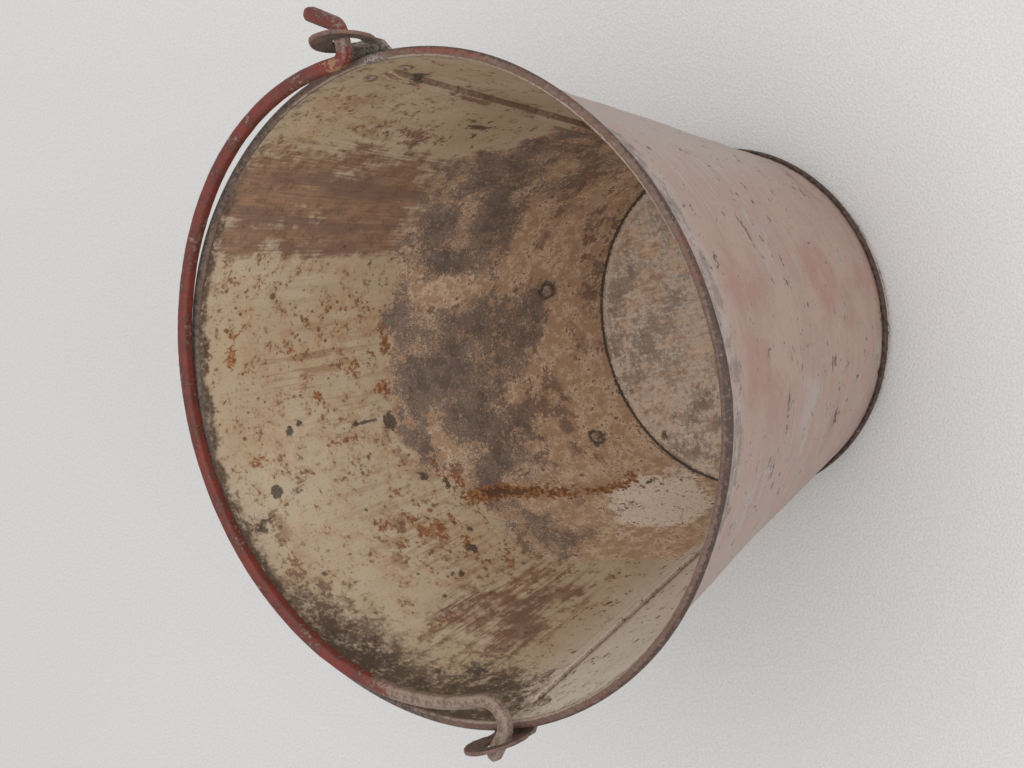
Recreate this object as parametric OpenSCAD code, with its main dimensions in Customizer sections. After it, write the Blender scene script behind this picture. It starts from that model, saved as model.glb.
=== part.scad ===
/* [Bucket] */
// Outer diameter over the rolled rim
rim_d = 310; // [260:1:360]
// Height from the floor to the top of the rim
bucket_h = 251; // [200:1:320]
// Inner diameter of the wall at the bottom disc
base_d = 172.8; // [140:0.1:200]
// Thickness of the wall, bottom and foot sheet
sheet_t = 0.8; // [0.6:0.1:1.2]
// Diameter of the wire inside the rolled rim
wire_d = 3; // [2:0.1:5]

/* [Wall seams] */
// Width of the hooked seam
seam_w = 7; // [5:0.5:12]
// Distance from the top of the rim to the end of the seam fold
seam_drop = 15; // [13:1:60]

/* [Foot] */
// Height of the hoop below the bottom disc
foot_h = 8.2; // [6:0.1:20]
// Outer diameter of the hoop
foot_d = 172; // [140:0.5:200]
// Overhang of the folded ring beyond the wall's flange
ring_lap = 2.1; // [1.8:0.1:4]
// Height of the hem turned in at the hoop's lower edge
hem_h = 5; // [3:0.5:6]

/* [Ears] */
// Thickness of the ear plates
ear_t = 2.2; // [2:0.1:2.6]
// Width of the ear plates
ear_w = 30; // [28:0.5:36]
// Width of the neck of an ear, between its eye and its riveted foot
ear_neck = 24; // [22:0.5:28]
// Height of the bail's axis above the centre of the rim roll
pivot_up = 13; // [11:0.5:18]
// Diameter of the pivot holes
pivot_d = 13.4; // [13:0.1:15]
// Outward lean of the left ear above the rim
left_lean = 14; // [8:1:15]
// Outward lean of the right ear above the rim
right_lean = 4; // [3:1:8]
// Offset of the left hole's middle to the front of the bail's axis, where the bar bears on the hole's rear
left_play_x = 1.6; // [-1.6:0.1:1.6]
// Height of the left hole's middle above the bail's axis
left_play_z = -1.6; // [-1.6:0.1:1.6]
// Height of the right hole's middle above the bail's axis
right_play = 0.4; // [0:0.1:0.5]
// Angle by which the right ear stands to the rear of the bail's axis
right_turn = 0.8; // [0:0.1:1]
// Gap between the rim and the left ear
left_standoff = 2.9; // [2:0.1:3.5]
// Gap between the rim and the right ear
right_standoff = 1; // [0.6:0.1:2]
// Distance between the two rivets of an ear
ear_rivet_gap = 22; // [21.5:0.1:22.5]

/* [Bail] */
// Thickness of the squared bail bar
bar_w = 6.6; // [6:0.1:7]
// Width of the bow between the middles of its two arms
bow_w = 291.6; // [288:0.1:294]
// Depth of the bow from its arms to its crown
bow_deep = 140.5; // [138:0.5:143]
// Sideways play taken up by the bail, towards the left ear
bail_slide = 7.7; // [7:0.1:8]
// Angle of the folded bail below level
fold_angle = 2.6; // [0:0.1:2.6]

/* [Tipping grip] */
// Direction of the grip from the bucket's axis
grip_azimuth = 182.6; // [175:0.1:185]
// Height of the middle of the grip above the floor
grip_z = 41.3; // [38:0.1:80]
// Angle between the grip's two rivets, round the wall
grip_span = 50.7; // [45:0.1:60]
// Rise of the grip from its right rivet to its left one
grip_rise = 7.4; // [0:0.1:10]
// Width of the strap
strap_w = 22; // [16:0.5:28]
// Thickness of the strap
strap_t = 2.6; // [2:0.1:4]
// Room for the fingers behind the grip
finger_room = 33; // [28:1:45]

/* [Hidden] */
$fn = 64;

// Small clearance between pieces that are pressed or folded together
gap = 0.06;
// Overlap and cut allowance for boolean operations
over = 1;

// Rolled rim
roll_r = wire_d / 2 + gap + sheet_t;
roll_c = [rim_d / 2 - roll_r, bucket_h - roll_r];
roll_gap = [172, 232];

// Wall cone: its inner face runs from the bottom disc to the inner side of the roll
floor_z = foot_h + sheet_t;
base_r = base_d / 2;
wall_run = roll_c - [base_r, floor_z];
wall_lean = atan2(wall_run[0], wall_run[1]) - asin(roll_r / norm(wall_run));
wall_out = [cos(wall_lean), -sin(wall_lean)];
wall_up = [sin(wall_lean), cos(wall_lean)];
wall_top = roll_c - roll_r * wall_out;
flange_r = base_r + ring_lap;

// Hooked seams: four layers of sheet, counted inward from the wall's outer face
seam_low = floor_z + 1.6;
seam_high = bucket_h - seam_drop;
layer = sheet_t + 2 * gap;
seam_step = 0.05;

// Ears and rivets
rivet_d = 4.6;
rivet_head_d = 7.6;
rivet_head_h = 1.7;
ear_rivet_z = roll_c[1] - 13;
ear_low = 21.5;
ear_step = 9;
ear_corner = 6;
ear_foot = 16;
left_azimuth = 90;
right_azimuth = -90 - right_turn;
pivot_z = roll_c[1] + pivot_up;
knee_drop = 1;

// Bail: radii and turns of its bends, and straight runs between them
bar_corner = 2.4;
corner_cuts = 4;
tip_r = 1.5;
bow_back = 11.5;
bow_turn = 45;
bow_sum = bow_w / 2 + bow_deep;
bow_diff = (bow_w / 2 - bow_deep) / (2 * cos(bow_turn) - 1);
side_r = (bow_sum - bow_diff) / 2;
crown_r = (bow_sum + bow_diff) / 2;
hook_r = 6;
left_through = 6.5;
left_turn = 60;
left_tail = 17;
swan_r = 10;
swan_slant = 45;
swan_in = (ear_mid(right_lean, right_standoff) + bail_slide - bow_w / 2 - swan_r * (1 + sin(swan_slant)))
    / cos(swan_slant);
swan_out = 9;
left_arm = bow_back - hook_r;
right_arm = bow_back + swan_in * sin(swan_slant) - swan_r * cos(swan_slant);

// Tipping grip, drawn in the plane square to the rear wall
foot_turn = 10.5;
foot_seat = 1.2;
grip_tilt = asin(grip_rise / (2 * wall_r(grip_z) * sin(grip_span / 2)));
grip_bend_r = 4;
grip_corner_r = 11;
grip_r = wall_r(grip_z) / cos(wall_lean);
strap_line_r = grip_r + gap + strap_t / 2;
foot_mid = asin(wall_r(grip_z) * sin(grip_span / 2) / grip_r);
foot_in = foot_mid - foot_turn / 2;
leg_run = finger_room + grip_r + strap_t / 2 - (strap_line_r + grip_bend_r) * cos(foot_in) - grip_corner_r;
bar_half = strap_line_r * sin(foot_in) - grip_bend_r * (1 - sin(foot_in)) - grip_corner_r;

// Radius of the wall's outer face at height z
function wall_r(z) = base_r + sheet_t / cos(wall_lean) + (z - floor_z) * tan(wall_lean);

// Distance of an ear's middle from the bucket's axis, where it is closest to the rim
function ear_knee(standoff) = rim_d / 2 + standoff + ear_t / 2;

// Distance of an ear's middle from the bucket's axis, at the height of the pivot
function ear_mid(lean, standoff) = ear_knee(standoff) + (pivot_up + knee_drop) * tan(lean);

// Pose [x, y, heading] after a straight [length] or a bend [radius, turn]; left turns are positive
function after(pose, step) = step[1] == undef
    ? [pose[0] + step[0] * cos(pose[2]), pose[1] + step[0] * sin(pose[2]), pose[2]]
    : let (
        side = sign(step[1]) * step[0],
        heading = pose[2] + step[1]
    ) [
        pose[0] + side * (sin(heading) - sin(pose[2])),
        pose[1] - side * (cos(heading) - cos(pose[2])),
        heading
    ];

// Poses along straights and bends, with a bend cut into turns of about 2.5 mm and at most 12 degrees
function walk(pose, steps, i = 0) = i == len(steps) ? [] :
    let (
        radius = steps[i][0],
        turn = steps[i][1],
        cuts = turn == undef ? 1 : ceil(abs(turn) / min(12, max(3, 143 / radius))),
        poses = [
            for (k = [1 : cuts]) after(pose, turn == undef ? steps[i] : [radius, turn * k / cuts])
        ]
    )
    concat(poses, walk(poses[cuts - 1], steps, i + 1));

// A way walked backwards
function backwards(poses) = [
    for (i = [len(poses) - 1 : -1 : 0]) [poses[i][0], poses[i][1], poses[i][2] + 180]
];

// Point beside a pose, on its left for a positive distance
function beside(pose, distance) = [
    pose[0] - distance * sin(pose[2]),
    pose[1] + distance * cos(pose[2])
];

// Points along an arc, cut into a number of equal turns
function arc(centre, radius, from, to, cuts) = [
    for (k = [0 : cuts])
        let (a = from + (to - from) * k / cuts) centre + radius * [cos(a), sin(a)]
];

// Puts children on the wall's outer face, with their z axis pointing out of the wall
module on_wall(azimuth, z) {
    rotate([0, 0, azimuth])
        translate([wall_r(z), 0, z])
            rotate([0, 90 + wall_lean, 0])
                children();
}

// A strip of even thickness along a bent line, with rounded bends
module strip2d(line, t) {
    for (i = [1 : len(line) - 1]) {
        step = line[i] - line[i - 1];
        translate(line[i - 1])
            rotate(atan2(step[1], step[0]))
                translate([0, -t / 2])
                    square([norm(step), t]);
    }
    for (i = [1 : len(line) - 2])
        translate(line[i])
            circle(d = t);
}

// Sweeps a bar section along poses in the XY plane and rounds off both its ends
module swept_bar(poses, section, half) {
    tip = [for (a = [90, 60, 30]) [tip_r * sin(a), 1 - tip_r * (1 - cos(a)) / half]];
    last = len(poses) - 1;
    stations = concat(
        [for (t = tip) concat(after(poses[0], [-t[0]]), t[1])],
        [for (p = poses) concat(p, 1)],
        [for (i = [2 : -1 : 0]) concat(after(poses[last], [tip[i][0]]), tip[i][1])]
    );
    n = len(section);
    ends = len(stations) - 1;
    points = [
        for (s = stations, q = section) concat(beside(s, s[3] * q[0]), s[3] * q[1])
    ];
    sides = [
        for (i = [0 : ends - 1], j = [0 : n - 1])
            let (k = (j + 1) % n) [i * n + j, (i + 1) * n + j, (i + 1) * n + k, i * n + k]
    ];
    polyhedron(points, concat(
        [[for (j = [0 : n - 1]) j]],
        sides,
        [[for (j = [n - 1 : -1 : 0]) ends * n + j]]
    ));
}

// Low domed rivet head standing on z = 0
module rivet_head() {
    dome_r = (pow(rivet_head_d / 2, 2) + pow(rivet_head_h, 2)) / (2 * rivet_head_h);
    intersection() {
        translate([0, 0, rivet_head_h - dome_r])
            sphere(dome_r);
        cylinder(d = rivet_head_d + over, h = rivet_head_h + over);
    }
}

// Rivet through the wall and a plate of thickness t outside it
module rivet(t) {
    inside = sheet_t + 2 * gap;
    outside = t + 2 * gap;
    translate([0, 0, -inside])
        cylinder(d = rivet_d, h = inside + outside);
    translate([0, 0, outside])
        rivet_head();
    translate([0, 0, -inside])
        mirror([0, 0, 1])
            rivet_head();
}

module rivet_hole() {
    translate([0, 0, -10])
        cylinder(d = rivet_d + 2 * gap, h = 20);
}

// Half section of the wall: bottom flange, cone and outward roll round the wire
module wall_profile() {
    polygon([
        [base_r, floor_z],
        wall_top,
        wall_top + sheet_t * wall_out,
        [wall_r(floor_z), floor_z]
    ]);
    translate([base_r, floor_z])
        square([ring_lap, sheet_t]);
    translate(roll_c)
        difference() {
            circle(roll_r);
            circle(roll_r - sheet_t);
            polygon([
                [0, 0],
                2 * roll_r * [cos(roll_gap[0]), sin(roll_gap[0])],
                2 * roll_r * [cos(roll_gap[1]), sin(roll_gap[1])]
            ]);
        }
}

// Layer of the seam band, from in0 to in1 inward of the wall's outer face, longer by extra at each end
module band(in0, in1, extra = 0) {
    low = [wall_r(seam_low), seam_low] - extra * wall_up;
    high = [wall_r(seam_high), seam_high] + extra * wall_up;
    rotate([0, 0, 80])
        rotate_extrude(angle = 20, $fn = 180)
            polygon([
                low - in0 * wall_out,
                high - in0 * wall_out,
                high - in1 * wall_out,
                low - in1 * wall_out
            ]);
}

// Upright slab at +Y that holds x0 to x1
module slab(x0, x1) {
    translate([x0, 0, 0])
        cube([x1 - x0, rim_d, 2 * bucket_h]);
}

// Part of a layer of the seam band between x0 and x1
module strip(in0, in1, x0, x1, extra = 0) {
    intersection() {
        band(in0, in1, extra);
        slab(x0, x1);
    }
}

// Outer hook of the seam at +Y: its sheet is on the -X side and turns back as the third layer
module outer_hook() {
    edge = seam_w / 2 - seam_step;
    difference() {
        strip(0.3 * sheet_t, 2 * layer + sheet_t, layer - seam_w / 2, edge);
        strip(0, 2 * layer, -seam_w, edge - sheet_t, over);
    }
}

// Inner hook of the seam at +Y: its sheet is on the +X side, climbs over the outer hook and turns back
module inner_hook() {
    root = seam_w / 2 + gap + seam_step;
    difference() {
        strip(0.3 * sheet_t, 3 * layer + sheet_t, -seam_w / 2, root + sheet_t);
        strip(0, layer, -seam_w, root, over);
        strip(layer + sheet_t, 3 * layer, sheet_t - seam_w / 2, root, over);
        strip(0, 3 * layer, seam_w / 2 - layer, root, over);
    }
}

// Cuts a sheet's plain edge at +Y back to x = edge beside the seam, and to x = gap above and below it
module edge_cut(edge) {
    reach = 20;
    translate([edge - reach, 0, seam_low])
        cube([reach, rim_d, seam_high - seam_low]);
    for (z = [0, seam_high])
        translate([gap - reach, 0, z == 0 ? 0 : z - over])
            cube([reach, rim_d, z == 0 ? seam_low + over : bucket_h]);
}

// Half of the wall on the +X side, with an inner hook at +Y and an outer hook at -Y
module half_sheet() {
    margin = 6;
    difference() {
        rotate([0, 0, -90 - margin])
            rotate_extrude(angle = 180 + 2 * margin, $fn = 180)
                wall_profile();
        edge_cut(seam_w / 2 + gap);
        mirror([0, 1, 0])
            edge_cut(-seam_w / 2);
    }
    inner_hook();
    rotate([0, 0, 180])
        outer_hook();
}

// The two rivet places of the ear at an azimuth
module ear_rivet_places(azimuth) {
    turn = asin(ear_rivet_gap / 2 / wall_r(ear_rivet_z));
    for (side = [-1, 1])
        on_wall(azimuth + side * turn, ear_rivet_z)
            children();
}

// The two rivet places of the tipping grip
module grip_rivet_places() {
    for (side = [-1, 1])
        on_wall(grip_azimuth + side * grip_span / 2, grip_z - side * grip_rise / 2)
            children();
}

module ear_rivet_holes() {
    for (azimuth = [left_azimuth, right_azimuth])
        ear_rivet_places(azimuth)
            rivet_hole();
}

module front_sheet() {
    color("rosybrown")
        difference() {
            half_sheet();
            ear_rivet_holes();
        }
}

module rear_sheet() {
    color("rosybrown")
        difference() {
            rotate([0, 0, 180])
                half_sheet();
            ear_rivet_holes();
            grip_rivet_places()
                rivet_hole();
        }
}

module rim_wire() {
    color("dimgray")
        rotate_extrude($fn = 180)
            translate(roll_c)
                circle(d = wire_d);
}

module bottom_disc() {
    color("tan")
        translate([0, 0, foot_h])
            cylinder(r = flange_r, h = sheet_t, $fn = 180);
}

// Foot hoop: hemmed band whose top is folded round the bottom disc and the wall's flange
module foot_hoop() {
    band_r = foot_d / 2;
    ring_r = flange_r + gap + sheet_t;
    lap_r = wall_r(floor_z + 2 * sheet_t) + 0.3;
    flange_z = foot_h - sheet_t;
    fold_z = floor_z + sheet_t + gap;
    color("rosybrown")
        rotate_extrude($fn = 180) {
            translate([band_r - sheet_t, 0])
                square([sheet_t, foot_h]);
            translate([band_r - 2 * sheet_t, 0])
                square([2 * sheet_t, hem_h]);
            translate([band_r - sheet_t, flange_z])
                square([ring_r - band_r + sheet_t, sheet_t]);
            translate([ring_r - sheet_t, flange_z])
                square([sheet_t, fold_z + sheet_t - flange_z]);
            translate([lap_r, fold_z])
                square([ring_r - lap_r, sheet_t]);
        }
}

// Front outline of an ear, with x across it and y up from the centre of the rim roll: foot, neck and eye
module ear_outline() {
    half = ear_w / 2;
    corner_x = half - ear_corner;
    lower = [corner_x, ear_corner - ear_low];
    upper = [corner_x, ear_foot - ear_corner - ear_low];
    shoulder = acos((ear_neck / 2 - corner_x) / ear_corner);
    dip = acos(ear_neck / ear_w);
    right = concat(
        arc(lower, ear_corner, -90, 0, 6),
        arc(upper, ear_corner, 0, shoulder, 4),
        arc([0, pivot_up], half, -dip, 90, 14)
    );
    polygon(concat(right, [for (i = [len(right) - 2 : -1 : 0]) [-right[i][0], right[i][1]]]));
}

// Ear plate at +Y, turned a little round the rim: flat on the wall, stepped round the roll, leaning out above it
module ear(lean, standoff, play, turn = 0) {
    reach = 40;
    sweep = 16;
    seat = ear_t / 2 + gap;
    foot_z = roll_c[1] - reach;
    step_z = roll_c[1] - ear_step;
    knee = [ear_knee(standoff), roll_c[1] - knee_drop];
    difference() {
        rotate([0, 0, turn])
            intersection() {
                rotate([0, 0, 90 - sweep / 2])
                    rotate_extrude(angle = sweep, $fn = 180)
                        strip2d([
                            [wall_r(foot_z), foot_z] + seat * wall_out,
                            [wall_r(step_z), step_z] + seat * wall_out,
                            knee,
                            knee + reach * [sin(lean), cos(lean)]
                        ], ear_t);
                translate([0, rim_d, roll_c[1]])
                    rotate([90, 0, 0])
                        linear_extrude(rim_d)
                            ear_outline();
            }
        translate([play[0], 0, pivot_z + play[1]])
            rotate([-90, 0, 0])
                cylinder(d = pivot_d, h = rim_d);
        ear_rivet_places(90 + turn)
            rivet_hole();
    }
}

module left_ear() {
    color("gray")
        ear(left_lean, left_standoff, [left_play_x, left_play_z]);
}

module right_ear() {
    color("gray")
        mirror([0, 1, 0])
            ear(right_lean, right_standoff, [0, right_play], right_turn);
}

module left_ear_rivets() {
    color("dimgray")
        ear_rivet_places(left_azimuth)
            rivet(ear_t);
}

module right_ear_rivets() {
    color("dimgray")
        ear_rivet_places(right_azimuth)
            rivet(ear_t);
}

// Plan of the grip's strap from foot to foot, with x out of the wall; the feet reach into the wall
module grip_plan() {
    start = foot_mid + foot_turn / 2;
    first = [strap_line_r * cos(start), -strap_line_r * sin(start), 90 - start];
    foot = concat([first], walk(first, [[strap_line_r, foot_turn]]));
    bow = walk(foot[len(foot) - 1], [
        [grip_bend_r, foot_in - 90],
        [leg_run],
        [grip_corner_r, 90],
        [2 * bar_half],
        [grip_corner_r, 90],
        [leg_run],
        [grip_bend_r, foot_in - 90]
    ]);
    other_foot = walk(bow[len(bow) - 1], [[strap_line_r, foot_turn]]);
    way = concat(foot, bow, other_foot);
    seat = strap_t / 2 + foot_seat;
    polygon(concat(
        [for (pose = way) beside(pose, -strap_t / 2)],
        [for (pose = backwards(other_foot)) beside(pose, -seat)],
        [for (pose = backwards(bow)) beside(pose, -strap_t / 2)],
        [for (pose = backwards(foot)) beside(pose, -seat)]
    ));
}

// Fixed strap grip: two feet that follow the wall, two legs and a bar
module tipping_grip() {
    color("rosybrown")
        difference() {
            rotate([0, 0, grip_azimuth])
                translate([wall_r(grip_z), 0, grip_z])
                    rotate([0, wall_lean, 0])
                        rotate([-grip_tilt, 0, 0])
                            translate([-grip_r, 0, 0])
                                translate([0, 0, -strap_w / 2])
                                    linear_extrude(strap_w)
                                        grip_plan();
            cylinder(r1 = wall_r(0) + gap, r2 = wall_r(bucket_h) + gap, h = bucket_h, $fn = 180);
            grip_rivet_places()
                rivet_hole();
        }
}

module grip_rivets() {
    color("dimgray")
        grip_rivet_places()
            rivet(strap_t + 2 * gap);
}

// Corner points of the bail bar's section: a square with rounded corners
function bar_section() = [
    for (corner = [0 : 3], cut = [0 : corner_cuts])
        let (
            at = bar_w / 2 - bar_corner,
            side = 90 * corner + 45,
            a = 90 * corner + 90 * cut / corner_cuts
        ) [
            at * sign(cos(side)) + bar_corner * cos(a),
            at * sign(sin(side)) + bar_corner * sin(a)
        ]
];

// Bail: bow whose two arms turn out through the ears, the left end hooked back
module bail() {
    bow_start = [0, bow_w / 2, 180];
    left_way = walk([0, bow_w / 2, 0], [
        [left_arm],
        [hook_r, 90],
        [left_through],
        [hook_r, left_turn],
        [left_tail]
    ]);
    right_way = walk(bow_start, [
        [side_r, bow_turn],
        [crown_r, 180 - 2 * bow_turn],
        [side_r, bow_turn],
        [right_arm],
        [swan_r, -90 - swan_slant],
        [swan_in + swan_out]
    ]);
    color("brown")
        translate([0, 0, pivot_z])
            rotate([0, -fold_angle, 0])
                translate([-bow_back, bail_slide, 0])
                    swept_bar(concat(backwards(left_way), [bow_start], right_way), bar_section(), bar_w / 2);
}

front_sheet();
rear_sheet();
rim_wire();
bottom_disc();
foot_hoop();
left_ear();
right_ear();
left_ear_rivets();
right_ear_rivets();
tipping_grip();
grip_rivets();
bail();
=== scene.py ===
import math

import bmesh
import bpy
import numpy as np
from mathutils import Matrix, Vector


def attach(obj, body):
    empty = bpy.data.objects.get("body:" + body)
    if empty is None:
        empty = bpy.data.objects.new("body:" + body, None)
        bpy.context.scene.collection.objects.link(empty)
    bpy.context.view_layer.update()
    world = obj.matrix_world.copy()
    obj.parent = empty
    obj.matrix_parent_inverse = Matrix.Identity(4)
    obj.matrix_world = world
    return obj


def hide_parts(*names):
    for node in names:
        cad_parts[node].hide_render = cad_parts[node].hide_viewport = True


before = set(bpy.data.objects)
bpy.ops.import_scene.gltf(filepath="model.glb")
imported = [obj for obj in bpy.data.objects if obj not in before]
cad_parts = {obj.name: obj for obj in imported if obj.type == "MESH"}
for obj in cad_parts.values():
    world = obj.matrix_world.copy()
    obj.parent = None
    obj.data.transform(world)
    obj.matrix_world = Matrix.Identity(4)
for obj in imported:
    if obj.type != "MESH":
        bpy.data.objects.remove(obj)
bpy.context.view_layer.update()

MM = 0.001

# Sizes in millimetres, as in the part's source
BUCKET_H = 251.0
RIM_R = 155.0
BASE_R = 86.4
SHEET = 0.8
ROLL_R = 2.36
FOOT_H = 8.2
FOOT_R = 86.0
RING_LAP = 2.1
HEM_H = 5.0
GAP = 0.06
SEAM_W = 7.0
SEAM_HIGH = 236.0
PIVOT_UP = 13.0
FLOOR_Z = FOOT_H + SHEET
ROLL_C = np.array([RIM_R - ROLL_R, BUCKET_H - ROLL_R])
RUN = ROLL_C - np.array([BASE_R, FLOOR_Z])
LEAN = math.atan2(RUN[0], RUN[1]) - math.asin(ROLL_R / np.hypot(*RUN))
OUT = np.array([math.cos(LEAN), -math.sin(LEAN)])
UP = np.array([math.sin(LEAN), math.cos(LEAN)])
WALL_TOP = ROLL_C - ROLL_R * OUT
PIVOT_Z = ROLL_C[1] + PIVOT_UP
MEAN_R = 125.0

# Azimuths in degrees: the ears, which sit on the wall seams, and the tipping grip
EARS = (90, 270)
GRIP_AT = 182.6


# Noise on points

OCTAVE_STEP = 2.03
OCTAVE_SHIFT = 31.7


def hashed(ix, iy, iz, seed):
    """A fixed number from 0 to 1 for each whole point, mixed from its bits."""
    h = (ix * 73856093) ^ (iy * 19349663) ^ (iz * 83492791) ^ (seed * 2654435)
    h = (h ^ (h >> 13)) * 1274126177
    h = h & 0xFFFFFFFF
    h = (h ^ (h >> 16)) * 2246822519
    return ((h & 0xFFFFFFFF) ^ ((h & 0xFFFFFFFF) >> 15)) % 65536 / 65535.0


def value_noise(p, seed):
    base = np.floor(p).astype(np.int64)
    f = p - base
    w = f * f * (3 - 2 * f)
    total = np.zeros(len(p))
    for corner in range(8):
        step = np.array([corner & 1, (corner >> 1) & 1, (corner >> 2) & 1])
        weight = np.prod(np.where(step, w, 1 - w), axis=1)
        i = base + step
        total += weight * hashed(i[:, 0], i[:, 1], i[:, 2], seed)
    return total


def fbm(p, size, seed, octaves=4):
    """Fractal noise from 0 to 1 at points p (mm), with features of the given size (mm, or one per axis)."""
    q = p / np.asarray(size, float)
    total, weight, part = np.zeros(len(p)), 0.0, 1.0
    for octave in range(octaves):
        total += part * value_noise(q + OCTAVE_SHIFT * octave, seed + octave)
        weight += part
        part *= 0.5
        q = q * OCTAVE_STEP
    return total / weight


def sway(p, size, seed, octaves=4):
    """The same noise, from -0.5 to 0.5."""
    return fbm(p, size, seed, octaves) - 0.5


def smoothstep(low, high, x):
    t = np.clip((x - low) / (high - low), 0, 1)
    return t * t * (3 - 2 * t)


# Angles, in degrees

def azimuth(p):
    return np.degrees(np.arctan2(p[:, 1], p[:, 0])) % 360


def turn_from(az, centre):
    return (az - centre + 180) % 360 - 180


def away(az, centre):
    return np.abs(turn_from(az, centre))


# Meshes

def link_object(name, data):
    item = bpy.data.objects.new(name, data)
    bpy.context.scene.collection.objects.link(item)
    return item


def finish_shading(mesh, smooth_angle):
    mesh.shade_smooth()
    mesh.set_sharp_from_angle(angle=math.radians(smooth_angle))


def add_object(name, verts, faces, smooth_angle):
    mesh = bpy.data.meshes.new(name)
    mesh.from_pydata((np.asarray(verts) * MM).tolist(), [], [list(f) for f in faces])
    mesh.validate()
    finish_shading(mesh, smooth_angle)
    return link_object(name, mesh)


def recalculate(piece):
    mesh = bmesh.new()
    mesh.from_mesh(piece.data)
    bmesh.ops.recalc_face_normals(mesh, faces=mesh.faces)
    mesh.to_mesh(piece.data)
    mesh.free()


def grid_faces(m, n, wrap_n=False, wrap_m=False, start=0):
    """Quads of an m by n grid of points, row by row, with the first index along m."""
    i = np.arange(m if wrap_m else m - 1)
    j = np.arange(n if wrap_n else n - 1)
    a, b = np.meshgrid(i, j, indexing="ij")
    a2, b2 = (a + 1) % m, (b + 1) % n
    quads = np.stack([a * n + b, a2 * n + b, a2 * n + b2, a * n + b2], -1)
    return (quads.reshape(-1, 4) + start).tolist()


def tube_faces(m, n, ends=1):
    """Faces of a closed section of n points along m places. Ends turned over (-1) keep sharp edges."""
    last = [(m - 1) * n + j for j in range(n)]
    return grid_faces(m, n, wrap_n=True) + [list(range(n))[::ends], last[::-ends]]


def set_attributes(piece, **values):
    for name, numbers in values.items():
        attribute = piece.data.attributes.new(name, "FLOAT", "POINT")
        attribute.data.foreach_set("value", np.asarray(numbers, np.float32))


def read_vectors(items, name):
    values = np.zeros(len(items) * 3, np.float32)
    items.foreach_get(name, values)
    return values.reshape(-1, 3).astype(float)


def points_of(piece):
    return read_vectors(piece.data.vertices, "co") / MM


def move_points(piece, co):
    piece.data.vertices.foreach_set("co", (co * MM).astype(np.float32).ravel())
    piece.data.update()


def neighbour_mean(piece, values):
    edges = np.zeros(len(piece.data.edges) * 2, np.int32)
    piece.data.edges.foreach_get("vertices", edges)
    a, b = edges.reshape(-1, 2).T
    total = np.zeros_like(values)
    count = np.zeros(len(values))
    for here, there in ((a, b), (b, a)):
        np.add.at(total, here, values[there])
        np.add.at(count, here, 1)
    return total / np.maximum(count, 1).reshape((-1,) + (1,) * (values.ndim - 1))


# Wear of a copied piece: sizes in millimetres, pulls of a smoothing round, a full edge's bend in voxels
WELD = 0.001
SMOOTH_PULLS = (0.6, -0.62, 0.12)
SMOOTH_ROUNDS = 3
EDGE_BEND = 0.09
DENT_DEEP = 0.5
DENT_SINK = 0.35


def worn_copy(node, name, voxel, dent_size, seed):
    """A copy of a CAD node with worn, rounded edges and a slightly uneven surface."""
    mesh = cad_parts[node].data.copy()
    mesh.materials.clear()
    welded = bmesh.new()
    welded.from_mesh(mesh)
    bmesh.ops.remove_doubles(welded, verts=welded.verts, dist=WELD * MM)
    welded.to_mesh(mesh)
    welded.free()
    piece = link_object(name, mesh)
    remesh = piece.modifiers.new("remesh", "REMESH")
    remesh.mode = "VOXEL"
    remesh.voxel_size = voxel * MM
    graph = bpy.context.evaluated_depsgraph_get()
    piece.data = bpy.data.meshes.new_from_object(piece.evaluated_get(graph))
    piece.modifiers.clear()
    piece.data.name = name
    co = points_of(piece)
    for _ in range(SMOOTH_ROUNDS):
        for pull in SMOOTH_PULLS:
            co = co + pull * (neighbour_mean(piece, co) - co)
    move_points(piece, co)
    normal = read_vectors(piece.data.vertex_normals, "vector")
    bend = -np.sum((neighbour_mean(piece, co) - co) * normal, axis=1)
    for _ in range(3):
        bend = neighbour_mean(piece, bend)
    set_attributes(piece, edge=np.clip(bend / (EDGE_BEND * voxel), -1, 1))
    wave = sway(co, dent_size, seed, 3)
    move_points(piece, co + normal * (DENT_DEEP * (wave - DENT_SINK))[:, None])
    finish_shading(piece.data, 60)
    return piece


# Node helpers

def srgb(*colour):
    def linear(c):
        c = c / 255
        return c / 12.92 if c <= 0.04045 else ((c + 0.055) / 1.055) ** 2.4
    return (*map(linear, colour), 1.0)


# Half the range of one plain noise that is spread over 0 to 1, so that every noise has the same contrast
NOISE_SPREAD = 0.38
# Outer and inner limit of a spot's soft edge, in cells
SPOT_EDGE = (0.06, -0.04)


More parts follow.
